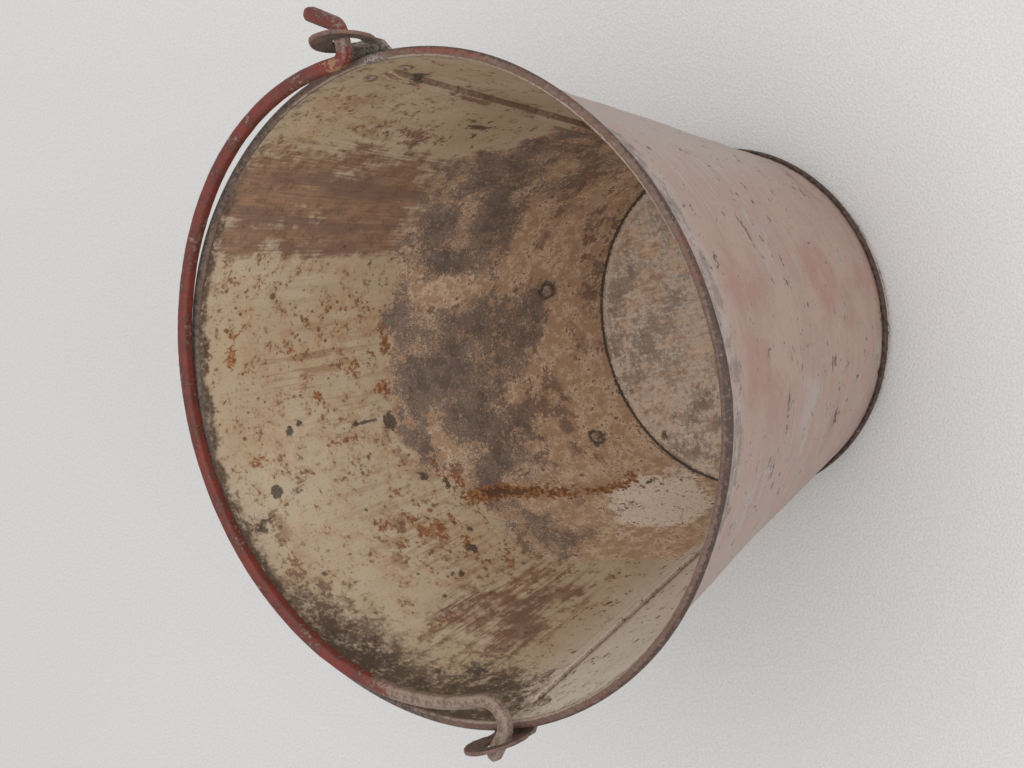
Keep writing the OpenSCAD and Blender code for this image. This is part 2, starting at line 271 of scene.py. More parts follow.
class Shader:
    """A Principled material and short calls for the nodes that feed it."""

    def __init__(self, name):
        self.material = bpy.data.materials.new(name)
        self.material.use_nodes = True
        self.tree = self.material.node_tree
        self.tree.nodes.clear()
        self.surface = self.node("BsdfPrincipled")
        self.node("OutputMaterial", {"Surface": self.surface.outputs[0]})
        self.place = self.node("TexCoord").outputs["Object"]

    def node(self, kind, inputs=None, **settings):
        """A new node with its settings, and what goes into each input that is named or numbered."""
        node = self.tree.nodes.new("ShaderNode" + kind)
        for name, value in settings.items():
            setattr(node, name, value)
        for key, value in (inputs or {}).items():
            self.give(node.inputs[key], value)
        return node

    def give(self, socket, value):
        """Link a node to a socket, or set a number, a vector, or a colour written as 0 to 255."""
        if isinstance(value, bpy.types.NodeSocket):
            self.tree.links.new(value, socket)
        elif socket.type == "RGBA":
            socket.default_value = srgb(*value)
        else:
            socket.default_value = value

    def attribute(self, name):
        return self.node("Attribute", attribute_name=name).outputs["Fac"]

    def stretched(self, x, y, z):
        return self.node("Mapping", {"Vector": self.place, "Scale": (x, y, z)}).outputs[0]

    def wall(self, around, up):
        """Place on the wall, in metres round and up it, stretched by the two scales."""
        places = (("around", around), ("up", up))
        parts = [self.times(self.attribute(name), scale) for name, scale in places]
        return self.node("CombineXYZ", dict(enumerate(parts))).outputs[0]

    def spread(self, value, low, high, to_low=0.0, to_high=1.0, **settings):
        inputs = {"Value": value, "From Min": low, "From Max": high, "To Min": to_low, "To Max": to_high}
        return self.node("MapRange", inputs, **settings).outputs[0]

    def noise(self, size, detail=4.0, rough=0.55, place=None):
        """Noise with features of a size in millimetres."""
        inputs = {"Vector": place or self.place, "Scale": 1 / MM / size, "Detail": detail, "Roughness": rough}
        plain = self.node("TexNoise", inputs).outputs["Fac"]
        parts = rough ** np.arange(int(detail) + 1)
        half = NOISE_SPREAD * np.hypot.reduce(parts) / np.sum(parts)
        return self.spread(plain, 0.5 - half, 0.5 + half, clamp=False)

    def math(self, operation, a, b):
        return self.node("Math", {0: a, 1: b}, operation=operation).outputs[0]

    def add(self, a, b):
        return self.math("ADD", a, b)

    def times(self, a, b):
        return self.math("MULTIPLY", a, b)

    def most(self, a, b):
        return self.math("MAXIMUM", a, b)

    def total(self, first, *others):
        """Sum of values, each given with its weight."""
        result = self.times(*first)
        for part in others:
            result = self.add(result, self.times(*part))
        return result

    def step(self, value, low, high):
        return self.spread(value, low, high, interpolation_type="SMOOTHSTEP")

    def swing(self, value, amount):
        """Noise from 0 to 1 turned into a push of plus or minus amount."""
        return self.spread(value, 0.3, 0.7, -amount, amount, clamp=False)

    def cover(self, amount, low, high, *pushes):
        """How far a mark covers: its amount, pushed to and fro by noises, between two levels."""
        for value, reach in pushes:
            amount = self.add(amount, self.swing(value, reach))
        return self.step(amount, low, high)

    def mark(self, name, low, high, *pushes, gate=None):
        """How far a mark on the mesh covers. A gate keeps the noises from making it where it isn't."""
        covered = self.cover(self.attribute(name), low, high, *pushes)
        if gate is None:
            return covered
        return self.times(covered, self.step(self.attribute(name), *gate))

    def mix(self, factor, a, b):
        return self.node("Mix", {0: factor, 6: a, 7: b}, data_type="RGBA").outputs[2]

    def blend(self, factor, a, b):
        return self.node("Mix", {0: factor, 2: a, 3: b}, data_type="FLOAT").outputs[0]

    def fade(self, value, low, high, a, b):
        """Colour a at the low level of a value, colour b at its high level."""
        return self.mix(self.step(value, low, high), a, b)

    def coat(self, value, low, high, a, b):
        """Start the surface's colour as such a fade."""
        self.colour = self.fade(value, low, high, a, b)

    def lay(self, mark, over, share=1.0):
        """Lay another colour over the surface's, by a share of a mark."""
        factor = mark if share == 1.0 else self.times(mark, share)
        self.colour = self.mix(factor, self.colour, over)

    def dots(self, size, share, radius):
        """Round spots in a share of the cells of a random pattern."""
        cells = self.node("TexVoronoi", {"Vector": self.place, "Scale": 1 / MM / size})
        pick = self.node("SeparateColor", {0: cells.outputs["Color"]})
        chosen = self.math("GREATER_THAN", pick.outputs[0], 1 - share)
        reach = self.times(pick.outputs[1], radius)
        near = self.step(self.math("SUBTRACT", cells.outputs["Distance"], reach), *SPOT_EDGE)
        return self.times(chosen, near)

    def finish(self, rough, height, depth=0.3, specular=0.45):
        """The material, with a bump of a depth in millimetres."""
        bump = self.node("Bump", {"Distance": depth * MM, "Height": height})
        inputs = {"Base Color": self.colour, "Roughness": rough, "Specular IOR Level": specular}
        inputs["Normal"] = bump.outputs[0]
        for name, value in inputs.items():
            self.give(self.surface.inputs[name], value)
        return self.material


# Materials

def inside_paint():
    s = Shader("inside_paint")
    broad, cloud, mottle = s.noise(70, 3), s.noise(22, 10, 0.72), s.noise(7, 9, 0.7)
    fine, grain = s.noise(2.0, 5, 0.64), s.noise(0.8, 3)
    drag = s.noise(3.4, 7, 0.66, place=s.wall(1.0, 0.08))
    streak = s.noise(11, 5, 0.6, place=s.wall(1.0, 0.1))
    hair = s.noise(1.1, 4, 0.6, place=s.wall(1.0, 0.05))
    s.coat(broad, 0.3, 0.7, (182, 162, 135), (191, 173, 149))
    s.lay(s.cover(mottle, 0.42, 0.9, (cloud, 0.1)), (178, 150, 117), 0.4)
    s.lay(s.step(hair, 0.5, 0.9), (164, 138, 108), 0.2)
    warm = s.times(s.attribute("speck"), s.cover(cloud, 0.3, 0.8, (mottle, 0.2)))
    s.lay(warm, (172, 137, 100), 0.6)
    s.lay(s.attribute("wash"), (216, 206, 193))
    low = s.mark("lower", 0.38, 0.62, (cloud, 0.2), (fine, 0.12))
    s.lay(low, s.fade(mottle, 0.3, 0.7, (180, 148, 120), (214, 187, 160)))
    s.lay(s.times(s.step(drag, 0.5, 0.75), s.attribute("drip")), (146, 110, 78), 0.8)
    stipple = s.times(s.cover(fine, 0.66, 0.76, (mottle, 0.16)), s.attribute("speck"))
    s.lay(stipple, (130, 96, 66), 0.7)
    stain = s.mark("stain", 0.24, 0.82, (cloud, 0.4), (mottle, 0.24), (fine, 0.16), gate=(0.05, 0.3))
    s.lay(stain, s.fade(fine, 0.3, 0.7, (148, 112, 91), (120, 96, 82)))
    dragged = s.mix(s.cover(hair, 0.0, 1.0, (mottle, 0.2)), (154, 119, 95), (124, 95, 79))
    dragged = s.mix(s.times(s.step(streak, 0.45, 0.75), 0.7), dragged, (112, 86, 76))
    pushes = [(drag, 0.1), (hair, 0.05), (cloud, 0.13), (mottle, 0.08)]
    s.lay(s.mark("band", 0.1, 0.6, *pushes, gate=(0.05, 0.25)), dragged, 0.92)
    # The film mark is a dark film on the paint, and also painted shade near the rim under the bail's right
    # arm.
    pushes = [(cloud, 0.17), (mottle, 0.13), (fine, 0.1), (grain, 0.1)]
    film = s.mark("film", 0.22, 0.84, *pushes, gate=(0.05, 0.3))
    s.lay(film, s.fade(mottle, 0.25, 0.75, (102, 90, 83), (124, 110, 102)), 0.95)
    s.lay(s.mark("pale", 0.4, 0.75, (mottle, 0.2), (fine, 0.1)), (236, 221, 203), 0.9)
    fleck = s.times(s.cover(fine, 0.66, 0.84, (mottle, 0.14)), s.attribute("lower"))
    s.lay(fleck, (180, 156, 136), 0.6)
    dots = s.most(s.dots(9.0, 0.2, 0.2), s.dots(3.6, 0.2, 0.3))
    dots = s.times(dots, s.mark("speck", 0.1, 0.6, (cloud, 0.2), (mottle, 0.1)))
    s.lay(dots, s.fade(broad, 0.4, 0.6, (104, 68, 42), (84, 74, 62)), 0.85)
    pushes = [(mottle, 0.2), (fine, 0.18)]
    rust = s.mark("rust", 0.3, 0.64, *pushes)
    orange = s.fade(fine, 0.3, 0.7, (168, 114, 62), (132, 80, 42))
    s.lay(rust, s.mix(s.mark("rust", 0.75, 1.05, *pushes), orange, (92, 55, 36)), 0.92)
    # Painted highlight on the crest of the seam at -Y.
    s.lay(s.attribute("crest"), (198, 182, 160), 0.6)
    # Dark lines along the seam strip's edges, and painted shadow on the wall beside it.
    s.lay(s.mark("crease", 0.25, 0.75, (fine, 0.06)), (112, 86, 69), 0.85)
    # The edge mark: a dark line just under the roll, and painted shade near the rim (the SHADE list) under
    # the bail's right arm and on the far side.
    shade_and_grime = s.fade(s.attribute("edge"), 0.35, 0.9, (128, 109, 92), (72, 58, 48))
    s.lay(s.mark("edge", 0.15, 0.95, (fine, 0.14), (mottle, 0.16)), shade_and_grime, 0.9)
    # The dark mark: dark spots, a dark line at the foot of the wall, and painted shadow rings round the
    # grip's rivet heads.
    spots_and_shadow = s.fade(grain, 0.3, 0.7, (64, 56, 49), (96, 84, 73))
    s.lay(s.mark("dark", 0.24, 0.5, (fine, 0.08), (mottle, 0.06)), spots_and_shadow, 0.92)
    s.lay(s.times(s.step(grain, 0.45, 0.85), s.blend(low, 0.14, 0.32)), (94, 74, 60))
    rough = s.blend(rust, s.blend(film, 0.46, 0.55), 0.8)
    height = s.total((mottle, 0.2), (rust, 0.35), (grain, 0.06), (s.most(film, stain), -0.14))
    return s.finish(rough, height, 0.35, specular=0.4)


def outside_paint():
    s = Shader("outside_paint")
    cloud, mottle = s.noise(34, 9, 0.66), s.noise(9, 7, 0.64)
    fine, grain = s.noise(2.6, 5), s.noise(0.8, 2)
    brush = s.noise(3.4, 6, 0.62, place=s.wall(0.07, 1.0))
    line = s.noise(1.3, 3, 0.5, place=s.wall(0.045, 1.0))
    s.coat(cloud, 0.2, 0.8, (169, 141, 129), (158, 126, 114))
    s.lay(s.step(mottle, 0.4, 0.9), (164, 146, 134), 0.5)
    # Chalky paint, and painted sheen: the lighter bands just under the rim and the tall lighter zone at
    # azimuth 54.
    chalk_and_sheen = s.mark("chalk_and_sheen", 0.25, 0.9, (cloud, 0.2), (brush, 0.12))
    s.lay(chalk_and_sheen, (177, 167, 160), 0.75)
    s.lay(s.step(brush, 0.55, 0.95), (182, 166, 157), 0.14)
    s.lay(s.step(brush, 0.45, 0.05), (144, 116, 106), 0.2)
    s.lay(s.mark("ruddy", 0.3, 0.9, (cloud, 0.14), (brush, 0.1)), (156, 112, 100), 0.7)
    # A darker grey band below the rim, and a few small grey patches.
    s.lay(s.mark("darker_grey", 0.35, 0.85, (mottle, 0.2), (brush, 0.14), (fine, 0.1)), (124, 112, 104), 0.75)
    chips = s.most(s.dots(26, 0.1, 0.12), s.dots(11, 0.03, 0.14))
    chips = s.times(chips, s.cover(mottle, 0.55, 0.72, (fine, 0.15)))
    scrape = s.mark("scrape", 0.4, 0.75, (fine, 0.16), (brush, 0.18), gate=(0.08, 0.3))
    scratch = s.times(s.step(line, 1.0, 1.08), s.cover(mottle, 0.7, 0.85, (cloud, 0.2)))
    bare = s.most(s.most(chips, scrape), s.times(scratch, 0.4))
    s.lay(bare, s.fade(fine, 0.4, 0.6, (116, 96, 88), (86, 70, 62)), 0.85)
    rust = s.mark("rust", 0.4, 0.75, (mottle, 0.2), (fine, 0.2))
    s.lay(rust, s.fade(fine, 0.4, 0.6, (104, 68, 48), (72, 52, 43)))
    s.lay(s.step(grain, 0.52, 0.75), (120, 94, 86), 0.16)
    rough = s.blend(bare, s.blend(chalk_and_sheen, 0.44, 0.62), 0.66)
    height = s.total((mottle, 0.2), (bare, -0.35), (grain, 0.04), (brush, 0.12))
    return s.finish(rough, height, 0.35)


def rim_iron():
    s = Shader("rim_iron")
    mottle, fine, grain = s.noise(12, 7, 0.66), s.noise(2.2, 5, 0.62), s.noise(0.6, 2)
    s.coat(fine, 0.1, 0.9, (118, 93, 81), (92, 72, 62))
    s.lay(s.step(mottle, 0.4, 0.9), (86, 70, 61), 0.7)
    far = s.mark("far", 0.2, 0.8, (mottle, 0.1), (fine, 0.1))
    s.lay(far, s.fade(fine, 0.3, 0.7, (104, 93, 84), (62, 53, 47)), 0.75)
    red = s.mark("red", 0.25, 0.85, (mottle, 0.12), (fine, 0.16))
    s.lay(red, s.fade(fine, 0.35, 0.65, (132, 70, 60), (108, 62, 54)), 0.9)
    lip = s.mark("lip", 0.25, 0.75, (fine, 0.14), (mottle, 0.1))
    s.lay(lip, (170, 153, 137), 0.8)
    # Painted shade on the underside and outer side of the roll.
    s.lay(s.mark("under", 0.3, 0.8, (fine, 0.2)), (60, 47, 41), 0.8)
    bare = s.mark("bare", 0.4, 0.7, (fine, 0.25))
    s.lay(bare, s.fade(fine, 0.4, 0.62, (164, 156, 146), (104, 94, 86)))
    s.lay(s.cover(mottle, 0.7, 0.95, (grain, 0.15)), (112, 72, 50), 0.6)
    return s.finish(s.blend(lip, 0.6, 0.45), s.total((fine, 0.6), (grain, 0.25)))


def disc_paint():
    s = Shader("disc_paint")
    cloud, mottle = s.noise(22, 9, 0.68), s.noise(7, 8, 0.68)
    fine, grain = s.noise(2.2, 5, 0.62), s.noise(0.7, 2)
    brush = s.noise(2.0, 5, 0.6, place=s.stretched(0.2, 1.0, 1.0))
    stroke = s.noise(6, 7, 0.68, place=s.stretched(0.4, 1.0, 1.0))
    s.coat(cloud, 0.35, 0.65, (190, 168, 149), (196, 183, 168))
    s.lay(s.cover(cloud, 0.35, 0.8, (fine, 0.12)), (116, 99, 87), 0.75)
    tan = s.mark("tan", 0.3, 0.8, (stroke, 0.24), (mottle, 0.12), (fine, 0.12))
    s.lay(tan, s.fade(mottle, 0.15, 0.85, (206, 174, 142), (172, 138, 112)))
    s.lay(s.cover(mottle, 0.5, 0.8, (fine, 0.1)), (138, 118, 104), 0.3)
    s.lay(s.cover(brush, 0.68, 0.9, (mottle, 0.1)), (202, 188, 170), 0.6)
    s.lay(s.step(brush, 0.4, 0.1), (122, 104, 91), 0.4)
    film = s.mark("film", 0.25, 0.85, (cloud, 0.16), (stroke, 0.14), (fine, 0.12))
    s.lay(film, s.fade(mottle, 0.2, 0.8, (138, 121, 108), (114, 99, 88)), 0.8)
    rust = s.mark("rust", 0.45, 1.0, (mottle, 0.14), (fine, 0.1))
    s.lay(rust, s.fade(fine, 0.4, 0.6, (146, 102, 68), (110, 76, 55)), 0.85)
    s.lay(s.mark("dark", 0.4, 0.75, (fine, 0.1)), (70, 57, 49))
    s.lay(s.mark("light", 0.4, 0.8, (fine, 0.3)), (186, 168, 148))
    s.lay(s.step(grain, 0.52, 0.72), (92, 78, 69), 0.25)
    height = s.total((mottle, 0.2), (brush, 0.12), (grain, 0.1))
    return s.finish(s.blend(rust, 0.5, 0.8), height, specular=0.42)


def foot_paint():
    s = Shader("foot_paint")
    mottle, fine, grain = s.noise(12, 6, 0.6), s.noise(2.4, 4), s.noise(0.6, 2)
    s.coat(mottle, 0.35, 0.65, (190, 168, 159), (178, 162, 154))
    worn = s.mark("worn", 0.3, 0.6, (mottle, 0.1), (fine, 0.08))
    s.lay(worn, s.fade(fine, 0.4, 0.62, (54, 42, 37), (82, 63, 54)))
    s.lay(s.cover(mottle, 0.6, 0.8, (fine, 0.2)), (96, 66, 50), 0.3)
    return s.finish(s.blend(worn, 0.5, 0.68), s.total((fine, 0.6), (grain, 0.25)))


def ear_iron(name, dull, bright):
    s = Shader(name)
    mottle, fine, grain = s.noise(7, 6, 0.64), s.noise(1.8, 4), s.noise(0.5, 2)
    s.coat(mottle, 0.3, 0.7, dull, bright)
    s.lay(s.step(fine, 0.5, 0.8), (74, 60, 53), 0.8)
    edge = s.mark("edge", 0.2, 0.8, (fine, 0.25), (mottle, 0.2))
    s.lay(edge, (136, 112, 99), 0.5)
    s.lay(s.mark("edge", 0.1, 0.7, (mottle, 0.3), (fine, 0.15)), (112, 68, 58), 0.45)
    bare = s.mark("foot", 0.35, 0.8, (fine, 0.14), (mottle, 0.14))
    s.lay(bare, s.fade(fine, 0.45, 0.75, (158, 148, 136), (88, 77, 69)), 0.85)
    s.lay(s.cover(s.noise(5), 0.72, 0.95, (grain, 0.15)), (106, 72, 52), 0.5)
    return s.finish(s.blend(edge, 0.6, 0.46), s.total((fine, 0.7), (grain, 0.3)), 0.35)


def bail_paint():
    s = Shader("bail_paint")
    mottle, fine, grain = s.noise(10, 7, 0.64), s.noise(2.0, 5, 0.6), s.noise(0.5, 2)
    s.coat(mottle, 0.35, 0.65, (120, 45, 36), (98, 39, 32))
    s.lay(s.step(fine, 0.5, 0.7), (78, 40, 33), 0.6)
    s.lay(s.mark("ridge", 0.45, 0.95, (fine, 0.35), (mottle, 0.35)), (84, 50, 42), 0.4)
    worn = s.mark("worn", 0.45, 0.8, (fine, 0.22), (mottle, 0.25))
    s.lay(worn, s.fade(fine, 0.4, 0.62, (142, 123, 109), (112, 95, 84)))
    bright = s.times(s.mark("worn", 0.4, 0.9), s.mark("ridge", 0.6, 1.1, (fine, 0.3)))
    s.lay(bright, (156, 136, 124), 0.5)
    s.lay(s.cover(mottle, 0.84, 0.98, (fine, 0.15)), (140, 100, 86), 0.35)
    s.lay(s.mark("ochre", 0.4, 0.7, (fine, 0.25)), (156, 116, 84), 0.8)
    s.lay(s.cover(s.noise(6), 0.62, 0.78, (grain, 0.2)), (92, 60, 46), 0.6)
    height = s.total((fine, 0.6), (grain, 0.25), (worn, -0.3))
    return s.finish(s.blend(worn, 0.48, 0.55), height)


def grip_paint():
    s = Shader("grip_paint")
    mottle, fine, grain = s.noise(12, 6, 0.6), s.noise(2.2, 4), s.noise(0.6, 2)
    s.coat(mottle, 0.35, 0.65, (168, 139, 127), (158, 122, 111))
    edge = s.mark("edge", 0.3, 0.75, (fine, 0.3), (mottle, 0.3))
    s.lay(edge, s.fade(fine, 0.4, 0.62, (118, 98, 88), (86, 70, 62)))
    s.lay(s.cover(mottle, 0.62, 0.8, (fine, 0.25)), (108, 68, 46), 0.7)
    return s.finish(s.blend(edge, 0.46, 0.55), s.total((fine, 0.6), (grain, 0.25)), specular=0.5)


# Walls

def wall_inner_r(z):
    return BASE_R + (z - FLOOR_Z) * math.tan(LEAN)


# Dents and bulges of the wall: azimuth, height, half sizes round and up the wall, depth (inwards is positive)
DENTS = [
    (4, 34, 9, 26, 1.5), (-14, 88, 22, 30, 0.9), (-32, 70, 16, 14, 1.2), (18, 130, 26, 20, 0.8),
    (12, 92, 24, 22, -0.7), (34, 52, 18, 24, 1.1), (-42, 150, 30, 36, 0.9), (52, 170, 26, 40, 1.0),
    (40, 22, 14, 10, 1.2), (128, 96, 34, 40, 0.9), (150, 170, 30, 34, -0.7), (214, 120, 32, 28, 1.0),
    (236, 190, 26, 30, 0.8), (168, 96, 30, 26, 0.7), (250, 86, 22, 38, 0.9), (112, 180, 24, 36, 0.8),
    (196, 196, 26, 22, 0.6), (-66, 110, 24, 40, 0.8), (70, 90, 26, 36, 0.7), (-8, 122, 3, 36, 0.5),
    (-32, 70, 5, 12, 0.7), (-26, 40, 4, 22, 0.5), (26, 90, 4, 26, 0.4), (-20, 160, 14, 3, 0.4),
]
DENT_GAIN = 1.5

# Waves of the rim: size, how many round the rim, start; they fade in from a height, over a height
RIM_WAVES = [(0.9, 2, 1.1), (0.5, 5, 0.4), (0.35, 9, 2.0)]
RIM_FADE_FROM, RIM_FADE_OVER = 40, 210


def wall_push(az, z):
    """How far the wall is pushed out of its cone: not at all at the foot, rim, ears, seams and grip."""
    r = wall_inner_r(z)
    push = np.zeros_like(z)
    for centre, height, wide, tall, depth in DENTS:
        across = np.radians(turn_from(az, centre)) * r / wide
        push -= DENT_GAIN * depth * np.exp(-across ** 2 - ((z - height) / tall) ** 2)
    a = np.radians(az)
    p = np.stack([r * np.cos(a), r * np.sin(a), z], -1)
    push += 1.5 * sway(p, 46, 5, 3) + 0.5 * sway(p, 14, 9, 2)
    keep = smoothstep(12, 26, z) * (1 - smoothstep(228, 242, z))
    for ear in EARS:
        keep *= 1 - (1 - smoothstep(7, 12, away(az, ear))) * smoothstep(205, 222, z)
        keep *= smoothstep(5, 14, np.radians(away(az, ear)) * r)
    grip = (1 - smoothstep(30, 38, away(az, GRIP_AT))) * (1 - smoothstep(58, 70, z))
    return push * keep * (1 - grip)


def rim_push(az, z):
    """Slow out-of-round of the rim, fading out down the wall and at the ears."""
    a = np.radians(az)
    wave = sum(size * np.cos(count * a + start) for size, count, start in RIM_WAVES)
    return wave * np.abs(np.cos(a)) ** 1.2 * np.clip((z - RIM_FADE_FROM) / RIM_FADE_OVER, 0, 1) ** 2.5


# Kinds of surface on the wall, in the order of their materials; a cut edge takes the outer one
INNER, BEAD, OUTER, EDGE = 0, 1, 2, 3
WALL_COLUMNS = 280
INNER_ROWS, BEAD_ROWS, CURL_ROWS, OUTER_ROWS = 160, 30, 14, 96
CURL_END = -120
# How far the first and second column of points at a sheet's edge are tucked in outside
TUCKS = (0.45, 0.12)


def wall_section():
    """Closed section of the wall: r, z and the kind of surface at each point."""
    rows = []

    def line(start, stop, count, kind):
        for t in np.linspace(0, 1, count):
            rows.append((*(start + t * (stop - start)), kind))

    def arc(radius, start, stop, count, kind):
        for a in np.radians(np.linspace(start, stop, count)):
            rows.append((*(ROLL_C + radius * np.array([math.cos(a), math.sin(a)])), kind))

    base = np.array([BASE_R, FLOOR_Z])
    tangent = 180 - math.degrees(LEAN)
    line(base, WALL_TOP, INNER_ROWS, INNER)
    arc(ROLL_R, tangent - 8, CURL_END, BEAD_ROWS, BEAD)
    arc(ROLL_R - SHEET, CURL_END, tangent - 30, CURL_ROWS, EDGE)
    low = base + np.array([SHEET / math.cos(LEAN) + SHEET * math.tan(LEAN), SHEET])
    line(WALL_TOP + SHEET * OUT - SHEET / 2 * UP, low, OUTER_ROWS, OUTER)
    rows.append((BASE_R + RING_LAP, FLOOR_Z + SHEET, EDGE))
    rows.append((BASE_R + RING_LAP, FLOOR_Z, EDGE))
    return np.array(rows)


# Section of a seam's inner fold: across the seam, and inwards from the outside of the wall
SEAM_FOLD = [
    (-3.5, 1.3), (-3.5, 2.6), (-3.2, 3.1), (-2.5, 3.35), (-1.2, 3.2), (0.0, 3.0), (1.2, 3.15), (2.6, 3.35),
    (3.6, 3.1), (4.3, 2.2), (4.8, 1.2), (5.2, 0.75), (2.0, 0.86), (-3.1, 0.9),
]
SEAM_ROWS = 120


def seam_strip():
    """Inner fold of the seam at +Y: a flattened hem up the inside of the wall, with closed ends."""
    rows = []
    for z in np.linspace(FLOOR_Z + 2 * SHEET, SEAM_HIGH, SEAM_ROWS):
        p = np.array([[0.0, 100.0, z]])
        wide = 1 + 0.1 * sway(p, 30, 21, 2)[0]
        thick = 1 + 0.12 * sway(p, 18, 22, 2)[0]
        shift = 0.8 * sway(p, 60, 23, 2)[0]
        end = 1 - 0.55 * smoothstep(SEAM_HIGH - 5, SEAM_HIGH, z)
        r = wall_inner_r(z) + SHEET / math.cos(LEAN)
        for across, depth in SEAM_FOLD:
            inward = SHEET + (depth - SHEET) * (thick if depth > 1 else 1) * end
            x = across * wide + shift
            y = math.sqrt((r - inward * math.cos(LEAN)) ** 2 - x * x)
            rows.append((x, y, z + inward * math.sin(LEAN)))
    return np.array(rows), [f[::-1] for f in tube_faces(SEAM_ROWS, len(SEAM_FOLD), -1)]


# Paint zones inside the bucket: azimuth, height, half width in degrees, half height, strength
BAND = [
    (131, 222, 11, 40, 0.9), (131, 168, 12, 34, 0.95), (140, 180, 5, 44, 0.85), (123, 150, 8, 20, 0.55),
    (120, 188, 5, 24, 0.6), (141, 232, 4, 16, 0.85), (238, 172, 8, 40, 0.5), (234, 150, 4, 30, 0.4),
    (247, 160, 9, 44, 0.48),
]
STAIN = [
    (180, 108, 30, 38, 0.5), (200, 100, 8, 28, 0.5), (165, 27, 25, 14, 0.45), (185, 60, 14, 16, 0.45),
    (130, 25, 16, 16, 0.42), (212, 38, 12, 20, 0.3), (230, 108, 16, 18, 0.42), (104, 215, 12, 34, 0.16),
    (88, 150, 6, 90, 0.2), (252, 204, 10, 18, 0.36), (205, 238, 9, 8, 0.24), (222, 232, 10, 14, 0.42),
    (243, 138, 10, 22, 0.3), (214, 166, 10, 20, 0.28), (112, 180, 8, 26, 0.34), (160, 240, 10, 7, 0.4),
    (198, 234, 8, 12, 0.24), (194, 216, 4, 14, 0.4), (188, 150, 10, 8, 0.22), (8, 224, 16, 16, 0.4),
    (334, 132, 12, 22, 0.36), (44, 146, 14, 26, 0.38), (62, 206, 10, 22, 0.34),
]
FILM_AND_SHADE = [
    (133, 97, 17, 15, 1.2), (114, 98, 14, 15, 0.8), (147, 108, 6, 30, 0.85), (130, 130, 15, 15, 0.66),
    (106, 62, 8, 40, 0.7), (119, 70, 8, 16, 0.7), (178, 108, 26, 34, 0.92), (166, 64, 11, 20, 0.8),
    (163, 132, 8, 13, 0.95), (184, 130, 10, 14, 0.85), (189, 104, 11, 20, 1.05), (179, 74, 7, 16, 0.85),
    (203, 98, 6, 24, 0.9), (228, 106, 13, 15, 0.95), (221, 69, 5, 6, 0.35), (156, 46, 6, 9, 0.85),
    # (232, 238), (252, 224) and (263, 222) are painted shade near the rim under the bail's right arm.
    (160, 22, 16, 12, 0.3), (208, 38, 4, 7, 0.6), (232, 238, 17, 11, 0.5), (252, 224, 11, 18, 0.55),
    (263, 222, 7, 22, 0.5), (196, 238, 10, 7, 0.5), (87, 205, 6, 40, 0.2), (16, 96, 24, 22, 0.85),
    (338, 88, 18, 20, 0.8), (52, 84, 16, 24, 0.8), (34, 238, 14, 9, 0.6),
]
CLEAR = [
    (154, 106, 4, 20, 0.75), (136, 68, 12, 10, 0.55), (172, 42, 9, 6, 0.5), (187, 75, 4, 6, 0.45),
    (216, 100, 7, 6, 0.75), (220, 88, 5, 12, 0.6), (220, 60, 7, 12, 0.85), (240, 47, 12, 20, 0.95),
    (228, 84, 7, 7, 0.5), (193, 128, 6, 4, 0.5), (188, 37, 9, 7, 0.5), (201, 33, 7, 11, 0.5),
    (222, 26, 10, 14, 0.7), (140, 45, 12, 9, 0.5), (252, 70, 14, 46, 0.85), (212, 133, 9, 6, 0.6),
    (206, 60, 5, 8, 0.4), (150, 60, 5, 5, 0.4), (198, 18, 12, 7, 0.6), (172, 18, 8, 6, 0.5),
    (236, 18, 14, 9, 0.8), (252, 150, 12, 50, 0.3),
]
RUST = [
    (166, 146, 4, 3.2, 0.75), (177, 149, 2, 4, 0.6), (213, 155, 3, 6, 0.65), (213, 143, 3, 2, 0.7),
    (214, 173, 2, 5, 0.5), (207, 180, 1.6, 4, 0.6), (165.5, 232, 2, 3, 0.7), (161, 229, 1.4, 4, 0.6),
    (176, 186, 1.8, 3, 0.55), (164, 245, 3, 2, 0.55), (186.6, 181, 0.6, 10, 0.6),
    (165.4, 201, 0.5, 10, 0.55), (153, 227, 0.8, 1.4, 0.8), (158, 178, 1.4, 24, 0.35),
    (211, 158, 4, 10, 0.35), (203, 135, 2.4, 2, 0.6), (185, 226, 2, 6, 0.35), (209, 234, 6, 5, 0.35),
    (226, 40, 3, 6, 0.55), (256, 152, 0.7, 7, 0.5), (260, 138, 1.6, 4, 0.45), (216, 84, 3, 8, 0.35),
    (205, 128, 6, 5, 0.4), (234, 190, 2, 12, 0.3), (220, 150, 4, 9, 0.36), (228, 136, 4, 8, 0.36),
    (170, 160, 2, 14, 0.36), (198, 136, 5, 3, 0.45), (352, 204, 3, 5, 0.55), (22, 160, 1.6, 12, 0.5),
    (330, 226, 2.5, 3, 0.6), (48, 186, 3, 6, 0.5),
]
